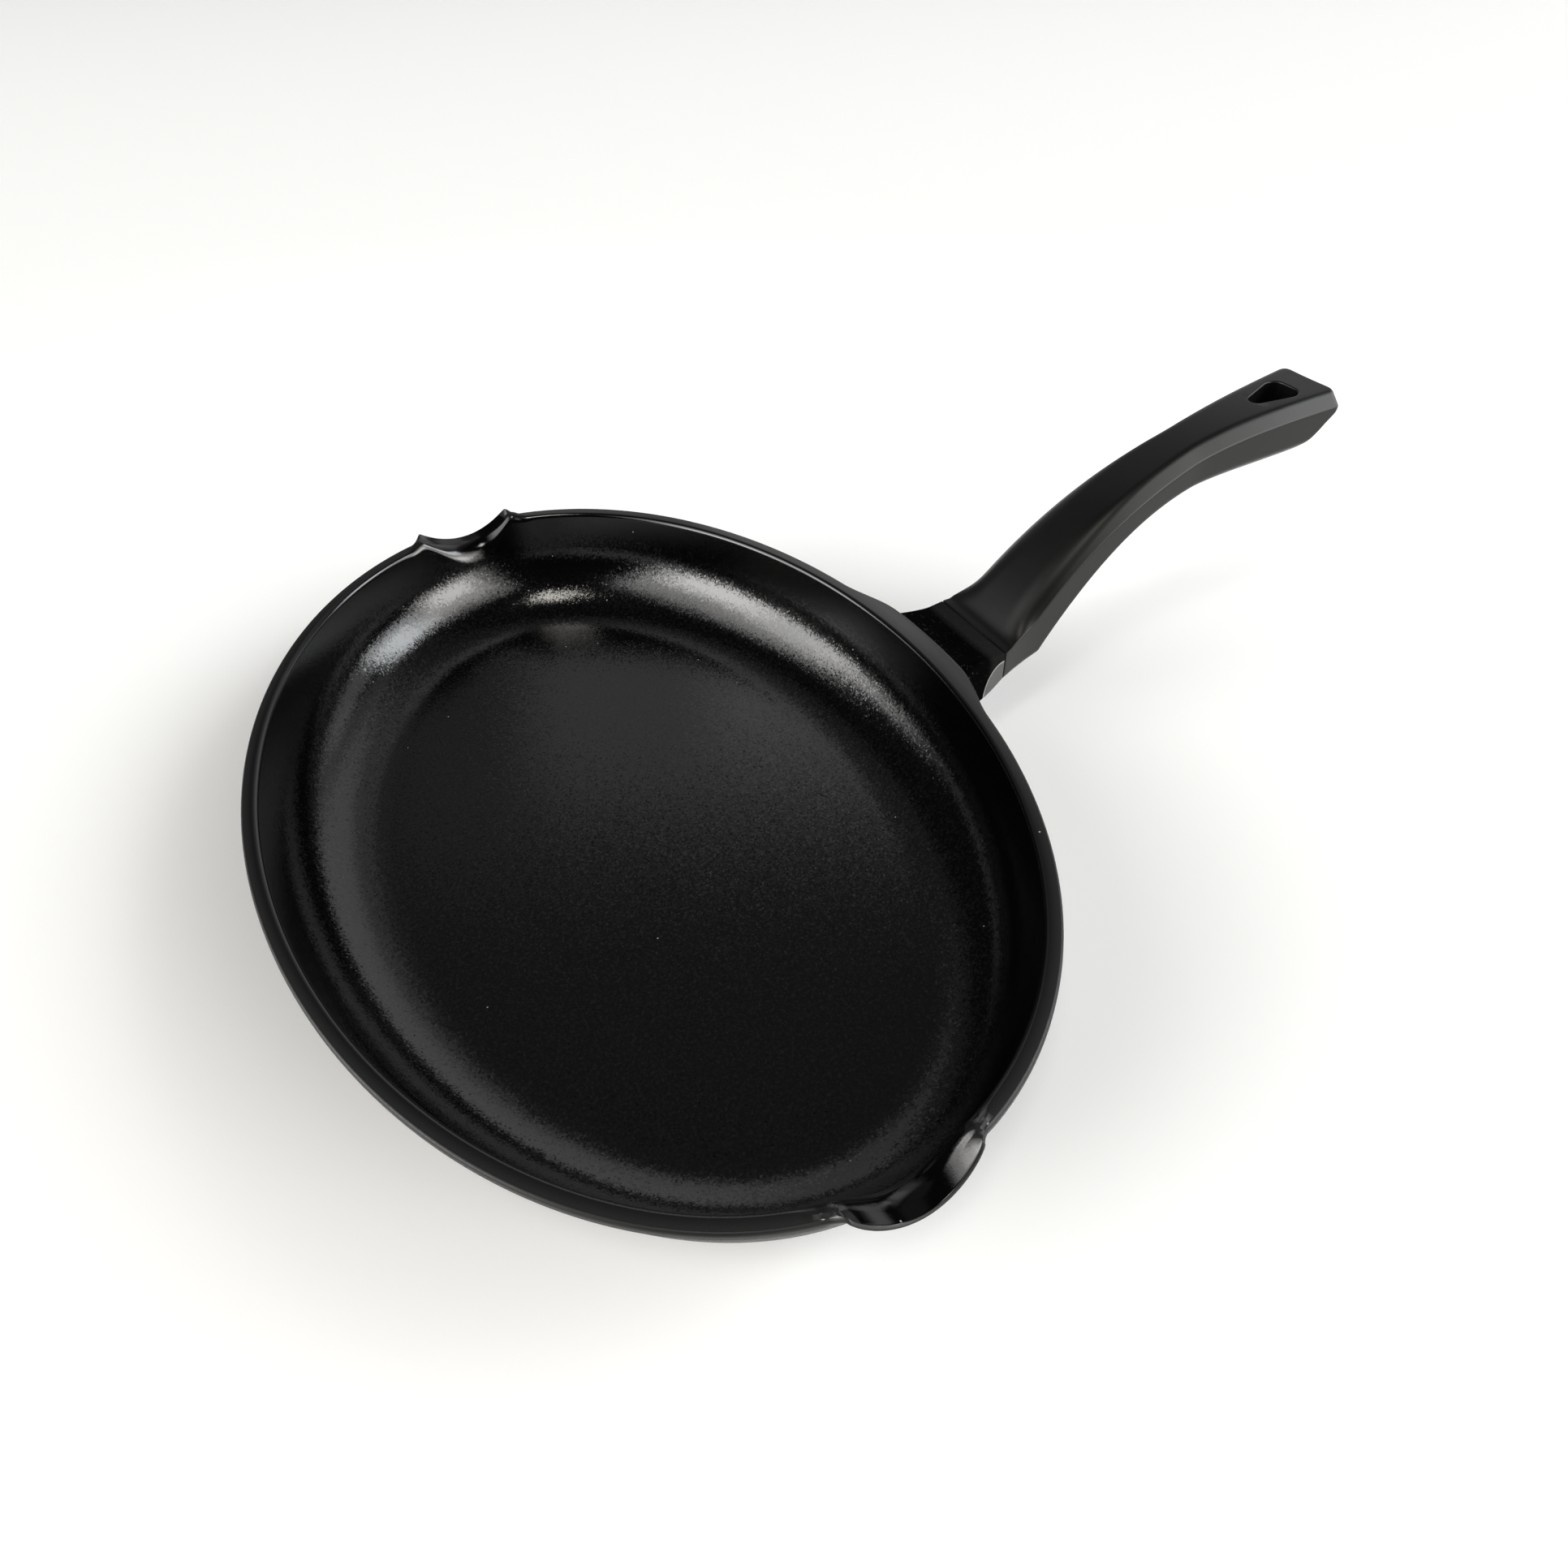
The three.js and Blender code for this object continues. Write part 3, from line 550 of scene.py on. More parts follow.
def lug_half_width(back, z):
    turn = math.hypot(back / LUG_BLOCK, (z - FLAT_LOW) / LUG_FLAT_HEIGHT)
    return LUG_HALF_WIDTH + LUG_FLARE * max(0, turn - 1) ** LUG_FLARE_POWER


def lug_section(back, shrink=0):
    """The lug's outline across the handle, some way back from the parting, shrunk for a broken edge."""
    x = PARTING_X - back
    neck = LUG_REACH - LIP_SWELL_AT_LUG
    valley = (LUG_BLOCK / 2 + neck) / 2
    dish = ramp(back, LUG_BLOCK / 2, valley) - ramp(back, valley, neck)
    drop = LUG_GUSSET * math.sin(min(1, back / LUG_GUSSET_LENGTH) * math.pi / 2)
    side_low = LUG_SIDE_LOW - drop
    top_half = lug_half_width(back, LUG_TOP)
    low_half = lug_half_width(back, side_low)
    round_over = lerp(LUG_EDGE_RADIUS, LUG_ROUND_OVER, ramp(back, 0, LUG_BLOCK))
    half = []
    for share in np.linspace(0, 1, 13)[:-1]:
        y = share * (top_half - round_over)
        half.append((y, LUG_TOP - LUG_VALLEY * dish * (1 - (y / top_half) ** 2)))
    for t in stations([math.pi / 2, 0], [5]):
        z = LUG_TOP - round_over + round_over * math.sin(t)
        half.append((lug_half_width(back, z) - round_over + round_over * math.cos(t), z))
    side_end = side_low + LUG_CORNER
    arc = min(max(facet_top(back), side_end + LUG_CORNER), LUG_TOP - round_over - LUG_CORNER)
    for z in stations([LUG_TOP - round_over, arc, side_end], [7, 8])[1:]:
        half.append((lug_half_width(back, z), z))
    bevel_top = (low_half, side_low)
    bevel_low = (low_half - LUG_LOWER_BEVEL, side_low - LUG_LOWER_BEVEL)
    after_top = (low_half - LUG_CORNER_ON_BEVEL, side_low - LUG_CORNER_ON_BEVEL)
    before_low = (bevel_low[0] + LUG_CORNER_ON_BEVEL, bevel_low[1] + LUG_CORNER_ON_BEVEL)
    after_low = (bevel_low[0] - LUG_CORNER, bevel_low[1])
    half += turn_corner(half[-1], bevel_top, after_top, CORNER_SHARES[1:])
    half += between(after_top, bevel_low, BEVEL_SHARES)
    half += turn_corner(before_low, bevel_low, after_low, CORNER_SHARES)
    half.append((after_low[0] / 2, bevel_low[1]))
    if shrink:
        middle = (LUG_TOP + bevel_low[1]) / 2
        narrower = 1 - shrink / LUG_HALF_WIDTH
        lower = 1 - shrink / LUG_SIDE_HEIGHT
        half = [(y * narrower, middle + (z - middle) * lower) for y, z in half]
    right = [(x, y, z) for y, z in half]
    left = [(x, -y, z) for y, z in half[1:]][::-1]
    return right + [(x, 0, half[-1][1])] + left


def lug():
    backs = stations([LUG_REACH + LUG_ROOT_DEPTH, LUG_REACH, GRIP_FACE_BREAK], [18, 40])
    sections = [lug_section(b) for b in backs] + [lug_section(0, GRIP_FACE_BREAK)]
    block = stack("lug", sections)
    combine(block, [bowl_room()], "DIFFERENCE")
    tongue_end = PARTING_X + TONGUE_LENGTH
    tongue = box("tongue", PARTING_X - LUG_BLOCK, tongue_end, TONGUE_WIDTH / 2, TONGUE_BOTTOM, TONGUE_TOP)
    combine(block, [tongue], "UNION")
    bore_low = TONGUE_BOTTOM - CUT_OVERRUN
    bore = bar("bore", SCREW_X, 0, INSERT_DIAMETER + 2 * CLEARANCE, bore_low, TONGUE_TOP + CUT_OVERRUN)
    return combine(block, [bore], "DIFFERENCE")


def stud_places():
    return [
        (share * RECESS_HALF_WIDTH * math.cos(t), share * RECESS_HALF_LENGTH * math.sin(t))
        for share, count in STUD_RINGS
        for t in np.linspace(0, 2 * math.pi, count, endpoint=False)
    ]


# The grip
def bezier(start, start_angle, start_arm, end, end_angle, end_arm):
    """Points on the curve that leaves its start and reaches its end at given angles."""
    first = (start[0] + math.cos(start_angle) * start_arm, start[1] + math.sin(start_angle) * start_arm)
    second = (end[0] - math.cos(end_angle) * end_arm, end[1] - math.sin(end_angle) * end_arm)
    t = np.linspace(0, 1, CURVE_STEPS + 1)[:, None]
    a, b, c, d = (np.array(p, float) for p in (start, first, second, end))
    return (1 - t) ** 3 * a + 3 * (1 - t) ** 2 * t * b + 3 * (1 - t) * t ** 2 * c + t ** 3 * d


TOP_CURVE = bezier(
    (GRIP_SHELF, LUG_TOP + GRIP_SHELF_RISE), GRIP_START_ANGLE, GRIP_START_PULL * GRIP_LENGTH,
    (GRIP_LENGTH, TAIL_TOP), GRIP_END_ANGLE, GRIP_END_PULL * GRIP_LENGTH,
)
BELLY_CURVE = bezier(
    (BELLY_LENGTH, LUG_SIDE_LOW + BELLY_RISE), BELLY_ANGLE, BELLY_START_PULL * GRIP_LENGTH,
    (TAIL_START, TAIL_TOP - TAIL_DEPTH), BELLY_END_ANGLE, BELLY_END_PULL * GRIP_LENGTH,
)


def catmull_rom(points, steps=400):
    """The spline through points that three.js draws, ends doubled."""
    found = []
    count = len(points) - 1
    for k in range(count):
        p0 = points[max(k - 1, 0)]
        p1, p2 = points[k], points[k + 1]
        p3 = points[min(k + 2, count)]
        for t in np.linspace(0, 1, steps, endpoint=k == count - 1):
            pair = []
            for i in (0, 1):
                v0 = (p2[i] - p0[i]) / 2
                v1 = (p3[i] - p1[i]) / 2
                cube = (2 * p1[i] - 2 * p2[i] + v0 + v1) * t ** 3
                square = (-3 * p1[i] + 3 * p2[i] - 2 * v0 - v1) * t ** 2
                pair.append(cube + square + v0 * t + p1[i])
            found.append(pair)
    return np.array(found)


WIDTH_CURVE = catmull_rom([
    (0, LUG_HALF_WIDTH),
    (GRIP_SHOULDER_AT * GRIP_LENGTH, GRIP_SHOULDER_HALF_WIDTH),
    (GRIP_WAIST_FROM * GRIP_LENGTH, GRIP_WAIST_HALF_WIDTH),
    (GRIP_WAIST_TO * GRIP_LENGTH, GRIP_WAIST_HALF_WIDTH),
    (GRIP_LENGTH, GRIP_TAIL_HALF_WIDTH),
])


def on_curve(curve, distance):
    return float(np.interp(distance, curve[:, 0], curve[:, 1]))


def eased_bend(line, distance, bend, reach):
    """A line with the bend in it softened, and as it is away from the bend."""
    if abs(distance - bend) > 3 * reach:
        return line(distance)
    return soft(line, distance, reach)


def grip_crest(distance):
    """The top line as the part's source has it."""
    if distance < GRIP_SHELF:
        return LUG_TOP + GRIP_SHELF_RISE * distance / GRIP_SHELF
    return on_curve(TOP_CURVE, distance)


def grip_top(distance):
    """The grip's top line, with a softer bend where the shelf ends."""
    return eased_bend(grip_crest, distance, GRIP_SHELF, SHELF_SOFTNESS)


def grip_low(distance):
    """The grip's lower line, with a softer bend where the tail's cut starts."""
    return eased_bend(grip_keel, distance, TAIL_START, TAIL_SOFTNESS)


def grip_keel(distance):
    """The lower line as the part's source has it."""
    if distance < BELLY_LENGTH:
        return LUG_SIDE_LOW + BELLY_RISE * distance / BELLY_LENGTH
    if distance > TAIL_START:
        share = (distance - TAIL_START) / TAIL_CUT_LENGTH
        return TAIL_TOP - lerp(TAIL_DEPTH, TAIL_EDGE_DEPTH, share)
    return on_curve(BELLY_CURVE, distance)


def grip_lean(distance):
    """How much longer a step along the top line is than its level run."""
    return math.hypot(1, grip_top(distance + 0.5) - grip_top(distance - 0.5))


def grip_crease(distance):
    """The side's upper edge as the part's source has it."""
    if distance < GRIP_FRONT_LENGTH:
        share = distance / GRIP_FRONT_LENGTH
        line = lerp(LUG_TOP - EDGE_BREAK, grip_crease(GRIP_FRONT_LENGTH), share)
        return min(line, grip_top(distance) - EDGE_BREAK)
    return grip_top(distance) - GRIP_CHAMFER * grip_lean(distance)


def grip_side_top(distance):
    """The upper edge of the grip's side, with a softer bend where it turns up along the chamfer."""
    return eased_bend(grip_crease, distance, GRIP_FRONT_LENGTH, CREASE_SOFTNESS)


def grip_bevel(distance):
    belly_share = 1 - ramp(distance, 0, GRIP_BEVEL_FADE)
    full = lerp(GRIP_LOWER_BEVEL, LUG_LOWER_BEVEL, belly_share)
    return lerp(full, EDGE_BREAK, ramp(distance, TAIL_START, GRIP_LENGTH))


def grip_bottom(distance):
    return grip_low(distance) - grip_bevel(distance)


def rounded(outline, radii, limits, steps):
    """A closed outline with its corners rounded, and points along its sides that hold the flats flat.

    limits holds, for each corner, the largest share of the sides before and after it that it may use.
    """
    count = len(outline)
    points = np.array(outline, float)
    cuts = []
    for k, here in enumerate(points):
        cut = []
        for other, limit in zip((points[k - 1], points[(k + 1) % count]), limits[k]):
            side = other - here
            cut.append(here + side * min(limit, radii[k] / np.linalg.norm(side)))
        cuts.append((cut[0], here, cut[1]))
    found = []
    for k, (a, tip, b) in enumerate(cuts):
        found += turn_corner(a, tip, b, np.linspace(0, 1, steps + 1))
        found += between(b, cuts[(k + 1) % count][0], SIDE_SHARES)
    return found


def grip_section(distance, shrink=0):
    """The grip's outline across the handle at a distance from the parting, shrunk for a broken edge."""
    chamfer = lerp(EDGE_BREAK, GRIP_CHAMFER, ramp(distance, *GRIP_CHAMFER_FADE))
    bevel = grip_bevel(distance)
    past = max(0, distance - GRIP_LENGTH + GRIP_TAIL_CORNER)
    tail_corner = GRIP_TAIL_CORNER - math.sqrt(GRIP_TAIL_CORNER ** 2 - past ** 2)
    half = on_curve(WIDTH_CURVE, distance) - tail_corner
    low = grip_low(distance)
    right = [
        (half - chamfer, grip_top(distance)),
        (half, grip_side_top(distance)),
        (half, low),
        (half - bevel, low - bevel),
    ]
    left = [(-y, z) for y, z in right][::-1]
    fade = ramp(distance, *GRIP_FRONT_EDGE_FADE)
    upper = lerp(GRIP_FRONT_EDGE_RADIUS, GRIP_EDGE_RADII[0], fade)
    side = lerp(GRIP_FRONT_SIDE_RADIUS, GRIP_EDGE_RADII[1], fade)
    radii = (upper, side, *GRIP_EDGE_RADII[2:])
    radii += radii[::-1]
    most = lerp(GRIP_FRONT_EDGE_SHARE, CORNER_SHARE, fade)
    plain = [(CORNER_SHARE, CORNER_SHARE)] * (len(right) - 1)
    limits = [(CORNER_SHARE, most), *plain, *plain, (most, CORNER_SHARE)]
    outline = np.array(rounded(right + left, radii, limits, steps=6))
    if shrink:
        middle = outline.mean(0)
        out = outline - middle
        outline = middle + out * (1 - shrink / np.linalg.norm(out, axis=1))[:, None]
    x = PARTING_X + distance
    return [(x, y, z) for y, z in outline]


def flare(ring, out, surface, sign, ease):
    """Rings that widen a cutter in a curve where it meets a surface, upwards for sign 1, down for -1."""
    rings = []
    for t in stations([0, math.pi / 2], [4]):
        moved = ring + out * ease * (1 - math.cos(t))
        heights = [surface(x) + sign * ease * (math.sin(t) - 1) for x, _ in ring]
        rings.append([(x, y, z) for (x, y), z in zip(moved, heights)])
    rings.append([(x, y, z + sign * CUT_OVERRUN) for x, y, z in rings[-1]])
    return rings


def eased_cutter(name, outline, ease, low_at, high_at=None, end=None):
    """An upright cutter that rounds a hole's lower edge, and its upper one unless the hole ends flat."""
    ring = np.array(outline, float)
    ahead = np.roll(ring, -1, axis=0) - np.roll(ring, 1, axis=0)
    out = np.stack([ahead[:, 1], -ahead[:, 0]], axis=1)
    out /= np.linalg.norm(out, axis=1)[:, None]
    lower = flare(ring, out, low_at, -1, ease)[::-1]
    upper = flare(ring, out, high_at, 1, ease) if high_at else [[(x, y, end) for x, y in ring]]
    return stack(name, lower + upper)


def hole_outline():
    """Rounded triangle, its narrow end towards the bowl, counter-clockwise from above."""
    end = PARTING_X + GRIP_LENGTH - HOLE_TAIL_DISTANCE
    narrow_x = end - HOLE_LENGTH + HOLE_NARROW_RADIUS
    wide_x = end - HOLE_CORNER_RADIUS
    wide_y = HOLE_HALF_WIDTH - HOLE_CORNER_RADIUS
    run = wide_x - narrow_x
    widening = math.asin((HOLE_CORNER_RADIUS - HOLE_NARROW_RADIUS) / math.hypot(run, wide_y))
    lean = math.atan2(wide_y, run) + widening
    quarter = math.pi / 2
    arcs = (
        ((narrow_x, 0), HOLE_NARROW_RADIUS, quarter + lean, 3 * quarter - lean),
        ((wide_x, -wide_y), HOLE_CORNER_RADIUS, -quarter - lean, 0),
        ((wide_x, wide_y), HOLE_CORNER_RADIUS, 0, quarter + lean),
    )
    return [
        (c[0] + r * math.cos(t), c[1] + r * math.sin(t))
        for c, r, start, stop in arcs
        for t in stations([start, stop], [14])
    ]


def underside(x):
    return grip_bottom(x - PARTING_X)


def top_side(x):
    return grip_top(x - PARTING_X)


def grip():
    front = [(CLEARANCE, GRIP_FACE_BREAK), (CLEARANCE + GRIP_FACE_BREAK, 0)]
    stops = (
        CLEARANCE + GRIP_FACE_BREAK, GRIP_SHELF, GRIP_FRONT_LENGTH + BELLY_LENGTH, TAIL_START,
        GRIP_LENGTH - GRIP_TAIL_ROUND,
    )
    body = [(d, 0) for d in stations(stops, (6, 44, 80, 22))[1:]]
    tail = [
        (GRIP_LENGTH - GRIP_TAIL_ROUND * (1 - math.sin(t)), GRIP_TAIL_ROUND * (1 - math.cos(t)))
        for t in stations([0, math.pi / 2], [4])[1:]
    ]
    whole = stack("grip", [grip_section(d, s) for d, s in front + body + tail])
    socket = box(
        "socket", PARTING_X - CUT_OVERRUN, PARTING_X + TONGUE_LENGTH + CLEARANCE,
        TONGUE_WIDTH / 2 + CLEARANCE, TONGUE_BOTTOM - CLEARANCE, TONGUE_TOP + CLEARANCE,
    )
    bore_ring = circle(SCREW_X, 0, WASHER_DIAMETER / 2 + CLEARANCE, sides=64)
    bore = eased_cutter("counterbore", bore_ring, BORE_ROUND, underside, end=SEAT_Z)
    bush = bar("bush", SCREW_X, 0, BUSH_DIAMETER + 2 * CLEARANCE, SEAT_Z - CUT_OVERRUN, TONGUE_BOTTOM)
    hole = eased_cutter("hole", hole_outline(), HOLE_ROUND, underside, top_side)
    return combine(whole, [socket, bore, bush, hole], "DIFFERENCE")


# Materials
def material(name):
    made = bpy.data.materials.new(name)
    made.use_nodes = True
    tree = made.node_tree
    shader = tree.nodes["Principled BSDF"]
    return made, tree, shader


def feed(socket, value):
    """Links another node's output to a socket, or sets the socket to a constant."""
    if isinstance(value, bpy.types.NodeSocket):
        socket.id_data.links.new(value, socket)
    else:
        socket.default_value = value


def add(tree, kind, settings=None, **inputs):
    """A new node with its settings, and its inputs by name, or by number as i0, i1 and so on."""
    node = tree.nodes.new(kind)
    for key, value in (settings or {}).items():
        setattr(node, key, value)
    for key, value in inputs.items():
        numbered = key[0] == "i" and key[1:].isdigit()
        feed(node.inputs[int(key[1:])] if numbered else node.inputs[key], value)
    return node


def place(tree, stretch=(1, 1, 1)):
    """The surface point in the part's frame, in metres, stretched for grain along one way."""
    point = add(tree, "ShaderNodeTexCoord").outputs["Object"]
    if stretch == (1, 1, 1):
        return point
    return add(tree, "ShaderNodeMapping", Vector=point, Scale=stretch).outputs["Vector"]


def noise(tree, point, scale, detail, rough=0.5):
    node = add(tree, "ShaderNodeTexNoise", Vector=point, Scale=scale, Detail=detail, Roughness=rough)
    return node.outputs["Fac"]


def spread(tree, value, low, high, out_low, out_high):
    """A value mapped from one range to another, kept inside it."""
    ends = {"i1": low, "i2": high, "i3": out_low, "i4": out_high}
    return add(tree, "ShaderNodeMapRange", {"clamp": True}, i0=value, **ends).outputs["Result"]


def maths(tree, how, a, b=0.0):
    return add(tree, "ShaderNodeMath", {"operation": how}, i0=a, i1=b).outputs[0]


def sum_of_squares(tree, a, b):
    return maths(tree, "ADD", maths(tree, "MULTIPLY", a, a), maths(tree, "MULTIPLY", b, b))


def mixed(tree, a, b, share):
    """The sum of two values, the first counted by its share and the second by the rest."""
    return maths(tree, "ADD", maths(tree, "MULTIPLY", a, share), maths(tree, "MULTIPLY", b, 1 - share))


def blend_colour(tree, share, dark, light):
    node = add(tree, "ShaderNodeMix", {"data_type": "RGBA"}, i0=share, i6=dark, i7=light)
    return node.outputs[2]


def bump(tree, height, strength, distance):
    node = add(tree, "ShaderNodeBump", Height=height, Strength=strength, Distance=distance)
    return node.outputs["Normal"]


def roughen(tree, shader, value, low, high):
    """Sets the roughness between two levels by a noise."""
    feed(shader.inputs["Roughness"], spread(tree, value, NOISE_LOW, NOISE_HIGH, low, high))


def axes(tree, point):
    return add(tree, "ShaderNodeSeparateXYZ", Vector=point).outputs


def vector(tree, how, a, b=(0, 0, 0), c=(0, 0, 0)):
    return add(tree, "ShaderNodeVectorMath", {"operation": how}, i0=a, i1=b, i2=c).outputs["Vector"]


def tilted_flakes(tree, chance, most):
    """The surface's normal, tilted a little in nearly all cells of a pattern and by up to most in a few."""
    centred = vector(tree, "MULTIPLY_ADD", chance, (2, 2, 2), (-1, -1, -1))
    rarely_large = vector(tree, "MULTIPLY", centred, vector(tree, "MULTIPLY", centred, centred))
    tilt = vector(tree, "MULTIPLY", rarely_large, most)
    normal = add(tree, "ShaderNodeNewGeometry").outputs["Normal"]
    return vector(tree, "NORMALIZE", vector(tree, "ADD", normal, tilt))


def grey(value, blue=0.0):
    return (value, value, value * (1 + blue), 1)


def flecks(tree, point, scale, rarity, size):
    """1 on small round flecks in a few of the cells of a pattern."""
    cells = add(tree, "ShaderNodeTexVoronoi", Vector=point, Scale=scale)
    chosen = add(tree, "ShaderNodeSeparateColor", Color=cells.outputs["Color"]).outputs[0]
    rare = maths(tree, "GREATER_THAN", chosen, rarity)
    dot = maths(tree, "LESS_THAN", cells.outputs["Distance"], size)
    return maths(tree, "MULTIPLY", rare, dot)


def coating():
    """Black non-stick coating: gloss broken up by small flakes, with painted glints as grey speckle low in
    the bowl and painted light on the lip, lightest on its outer flat.
    """
    made, tree, shader = material("non_stick_coating")
    point = place(tree)
    grain = noise(tree, point, scale=2400, detail=2.0, rough=0.7)
    cells = add(tree, "ShaderNodeTexVoronoi", Vector=point, Scale=1600).outputs["Color"]
    chance = add(tree, "ShaderNodeSeparateColor", Color=cells).outputs
    dull = maths(tree, "MULTIPLY", maths(tree, "POWER", chance[0], 3.0), 0.06)
    sparse = flecks(tree, point, scale=150, rarity=0.9, size=0.05)
    height = axes(tree, point)[2]
    # Painted light: the lip's top is painted greyer than the bowl, for the light it catches
    lip_start, lip_full = ((RIM_HEIGHT - depth) * MM for depth in LIP_LIGHT_FADE)
    lip = spread(tree, height, lip_start, lip_full, 0.0, 1.0)
    # Painted glints: grey speckle in patches low in the bowl, for the coating's flakes catching light, gone
    # above BLACK_ABOVE
    low = spread(tree, height, GLINT_SPECKLED_BELOW * MM, BLACK_ABOVE * MM, 1.0, 0.0)
    patches = spread(tree, noise(tree, point, scale=800, detail=3.0, rough=0.7), 0.42, 0.8, 0.0, 1.0)
    glint_speckle = maths(tree, "MULTIPLY", chance[1], maths(tree, "MULTIPLY", low, patches))
    bowl_glint_tone = blend_colour(tree, glint_speckle, grey(0.0003, 0.4), grey(0.014, 0.1))
    oval = place(tree, (1 / (RIM_HALF_WIDTH * MM), 1 / (RIM_HALF_LENGTH * MM), 0))
    out = add(tree, "ShaderNodeVectorMath", {"operation": "LENGTH"}, i0=oval).outputs["Value"]
    # Painted light: the lip is painted lighter still towards its outer flat
    outer = spread(tree, out, 1 - LIP_WIDTH / RIM_HALF_LENGTH, 1, 0.0, 1.0)
    base = blend_colour(tree, lip, bowl_glint_tone, blend_colour(tree, outer, grey(0.004), grey(0.022)))
    feed(shader.inputs["Base Color"], blend_colour(tree, sparse, base, grey(0.3)))
    smooth = spread(tree, grain, NOISE_LOW, NOISE_HIGH, 0.08, 0.12)
    feed(shader.inputs["Roughness"], maths(tree, "ADD", smooth, dull))
    uneven = bump(tree, grain, strength=0.12, distance=FINE_GRAIN)
    tilt = spread(tree, height, FLAKY_BELOW * MM, SMOOTH_ABOVE * MM, FLAKE_TILT, 0.0)
    feed(uneven.node.inputs["Normal"], tilted_flakes(tree, cells, tilt))
    feed(shader.inputs["Normal"], uneven)
    shader.inputs["Specular IOR Level"].default_value = 0.76
    return made


def lug_coat():
    """The coating where the casting is rougher: dull black with painted glints as bright specks, and painted
    light that makes it greyer at the parting.
    """
    made, tree, shader = material("rough_coating")
    point = place(tree)
    grain = noise(tree, point, scale=1500, detail=3.0, rough=0.7)
    cloud = noise(tree, point, scale=110, detail=3.0)
    along = axes(tree, point)[0]
    # Painted light: the lug's flat top is painted greyer near the parting, where it catches the light
    parting_light_start, parting_light_full = ((PARTING_X - back) * MM for back in PARTING_LIGHT_FADE)
    parting_light = spread(tree, along, parting_light_start, parting_light_full, 0.0, 1.0)
    # Painted glints: pale specks, brighter towards the lug's root where its curve faces the light
    root_start, root_end = ((PARTING_X - back) * MM for back in GLINT_FADE)
    root = spread(tree, along, root_start, root_end, 0.14, 0.03)
    painted_glints = maths(tree, "MULTIPLY", flecks(tree, point, scale=1300, rarity=0.85, size=0.35), root)
    base = blend_colour(tree, cloud, grey(0.0012), grey(0.0035))
    base = blend_colour(tree, parting_light, base, grey(0.013))
    feed(shader.inputs["Base Color"], blend_colour(tree, painted_glints, base, grey(0.3)))
    roughen(tree, shader, grain, low=0.42, high=0.6)
    feed(shader.inputs["Normal"], bump(tree, grain, strength=0.25, distance=COARSE_GRAIN))
    shader.inputs["Specular IOR Level"].default_value = 0.0
    return made


def shaded_hole_wall():
    """The hanging hole's moulded wall, darker and duller than the skin: painted shade inside the hole."""
    made, tree, shader = material("shaded_hole_wall")
    grain = noise(tree, place(tree), scale=1800, detail=3.0, rough=0.6)
    # Painted shade: a darker colour than the skin's, for the shade inside the hanging hole
    feed(shader.inputs["Base Color"], blend_colour(tree, grain, grey(0.001), grey(0.002)))
    roughen(tree, shader, grain, low=0.5, high=0.65)
    feed(shader.inputs["Normal"], bump(tree, grain, strength=0.15, distance=FINE_GRAIN))
    shader.inputs["Specular IOR Level"].default_value = 0.05
    return made


def outside():
    """Satin black lacquer on the casting's outside."""
    made, tree, shader = material("outer_lacquer")
    point = place(tree)
    grain = noise(tree, point, scale=1400, detail=3.0, rough=0.6)
    cloud = noise(tree, point, scale=35, detail=4.0)
    feed(shader.inputs["Base Color"], blend_colour(tree, cloud, grey(0.006), grey(0.011)))
    roughen(tree, shader, grain, low=0.36, high=0.5)
    feed(shader.inputs["Normal"], bump(tree, grain, strength=0.14, distance=FINE_GRAIN))
    shader.inputs["Specular IOR Level"].default_value = 0.4
    return made


def soft_touch():
    """Matt soft-touch lacquer on the grip, with faint handling marks and dust."""
    made, tree, shader = material("soft_touch")
    point = place(tree)
    grain = noise(tree, point, scale=3200, detail=2.0, rough=0.6)
    cloud = noise(tree, point, scale=45, detail=4.0)
    dust = flecks(tree, point, scale=260, rarity=0.95, size=0.05)
    base = blend_colour(tree, cloud, grey(0.0016), grey(0.0026))
    feed(shader.inputs["Base Color"], blend_colour(tree, dust, base, grey(0.05)))
    roughen(tree, shader, cloud, low=0.34, high=0.4)
    feed(shader.inputs["Normal"], bump(tree, grain, strength=0.1, distance=FINE_GRAIN))
    shader.inputs["Specular IOR Level"].default_value = 0.37
    return made


def facet():
    """Machined flat of the lug: short strokes, and a painted highlight along its arc."""
    made, tree, shader = material("lug_facet")
    strokes = noise(tree, place(tree, (420, 60, 3200)), scale=1.0, detail=4.0, rough=0.65)
    axis = axes(tree, place(tree))
    back = maths(tree, "DIVIDE", maths(tree, "SUBTRACT", PARTING_X * MM, axis[0]), LUG_BLOCK * MM)
    rise = maths(tree, "DIVIDE", maths(tree, "SUBTRACT", axis[2], FLAT_LOW * MM), LUG_FLAT_HEIGHT * MM)
    turn = sum_of_squares(tree, back, rise)
    # Painted highlight: the flat is painted pale grey along its arc
    rim = spread(tree, turn, 0.88, 0.96, 0.0, 0.6)
    colour = blend_colour(tree, strokes, grey(0.09), grey(0.19))
    feed(shader.inputs["Base Color"], blend_colour(tree, rim, colour, grey(0.6)))
    shader.inputs["Metallic"].default_value = 0.75
    roughen(tree, shader, strokes, low=0.3, high=0.46)
    feed(shader.inputs["Normal"], bump(tree, strokes, strength=0.12, distance=COARSE_GRAIN))
    return made


def metal(name, dark, light, stretch, low, high):
    """Bare metal with a grain along one way and slight clouding."""
    made, tree, shader = material(name)
    strokes = noise(tree, place(tree, stretch), scale=1.0, detail=5.0, rough=0.6)
    cloud = noise(tree, place(tree), scale=70, detail=3.0)
    both = mixed(tree, strokes, cloud, share=0.7)
    feed(shader.inputs["Base Color"], blend_colour(tree, both, dark, light))
    shader.inputs["Metallic"].default_value = 1
    roughen(tree, shader, both, low, high)
    feed(shader.inputs["Normal"], bump(tree, strokes, strength=0.1, distance=FINE_GRAIN))
    return made


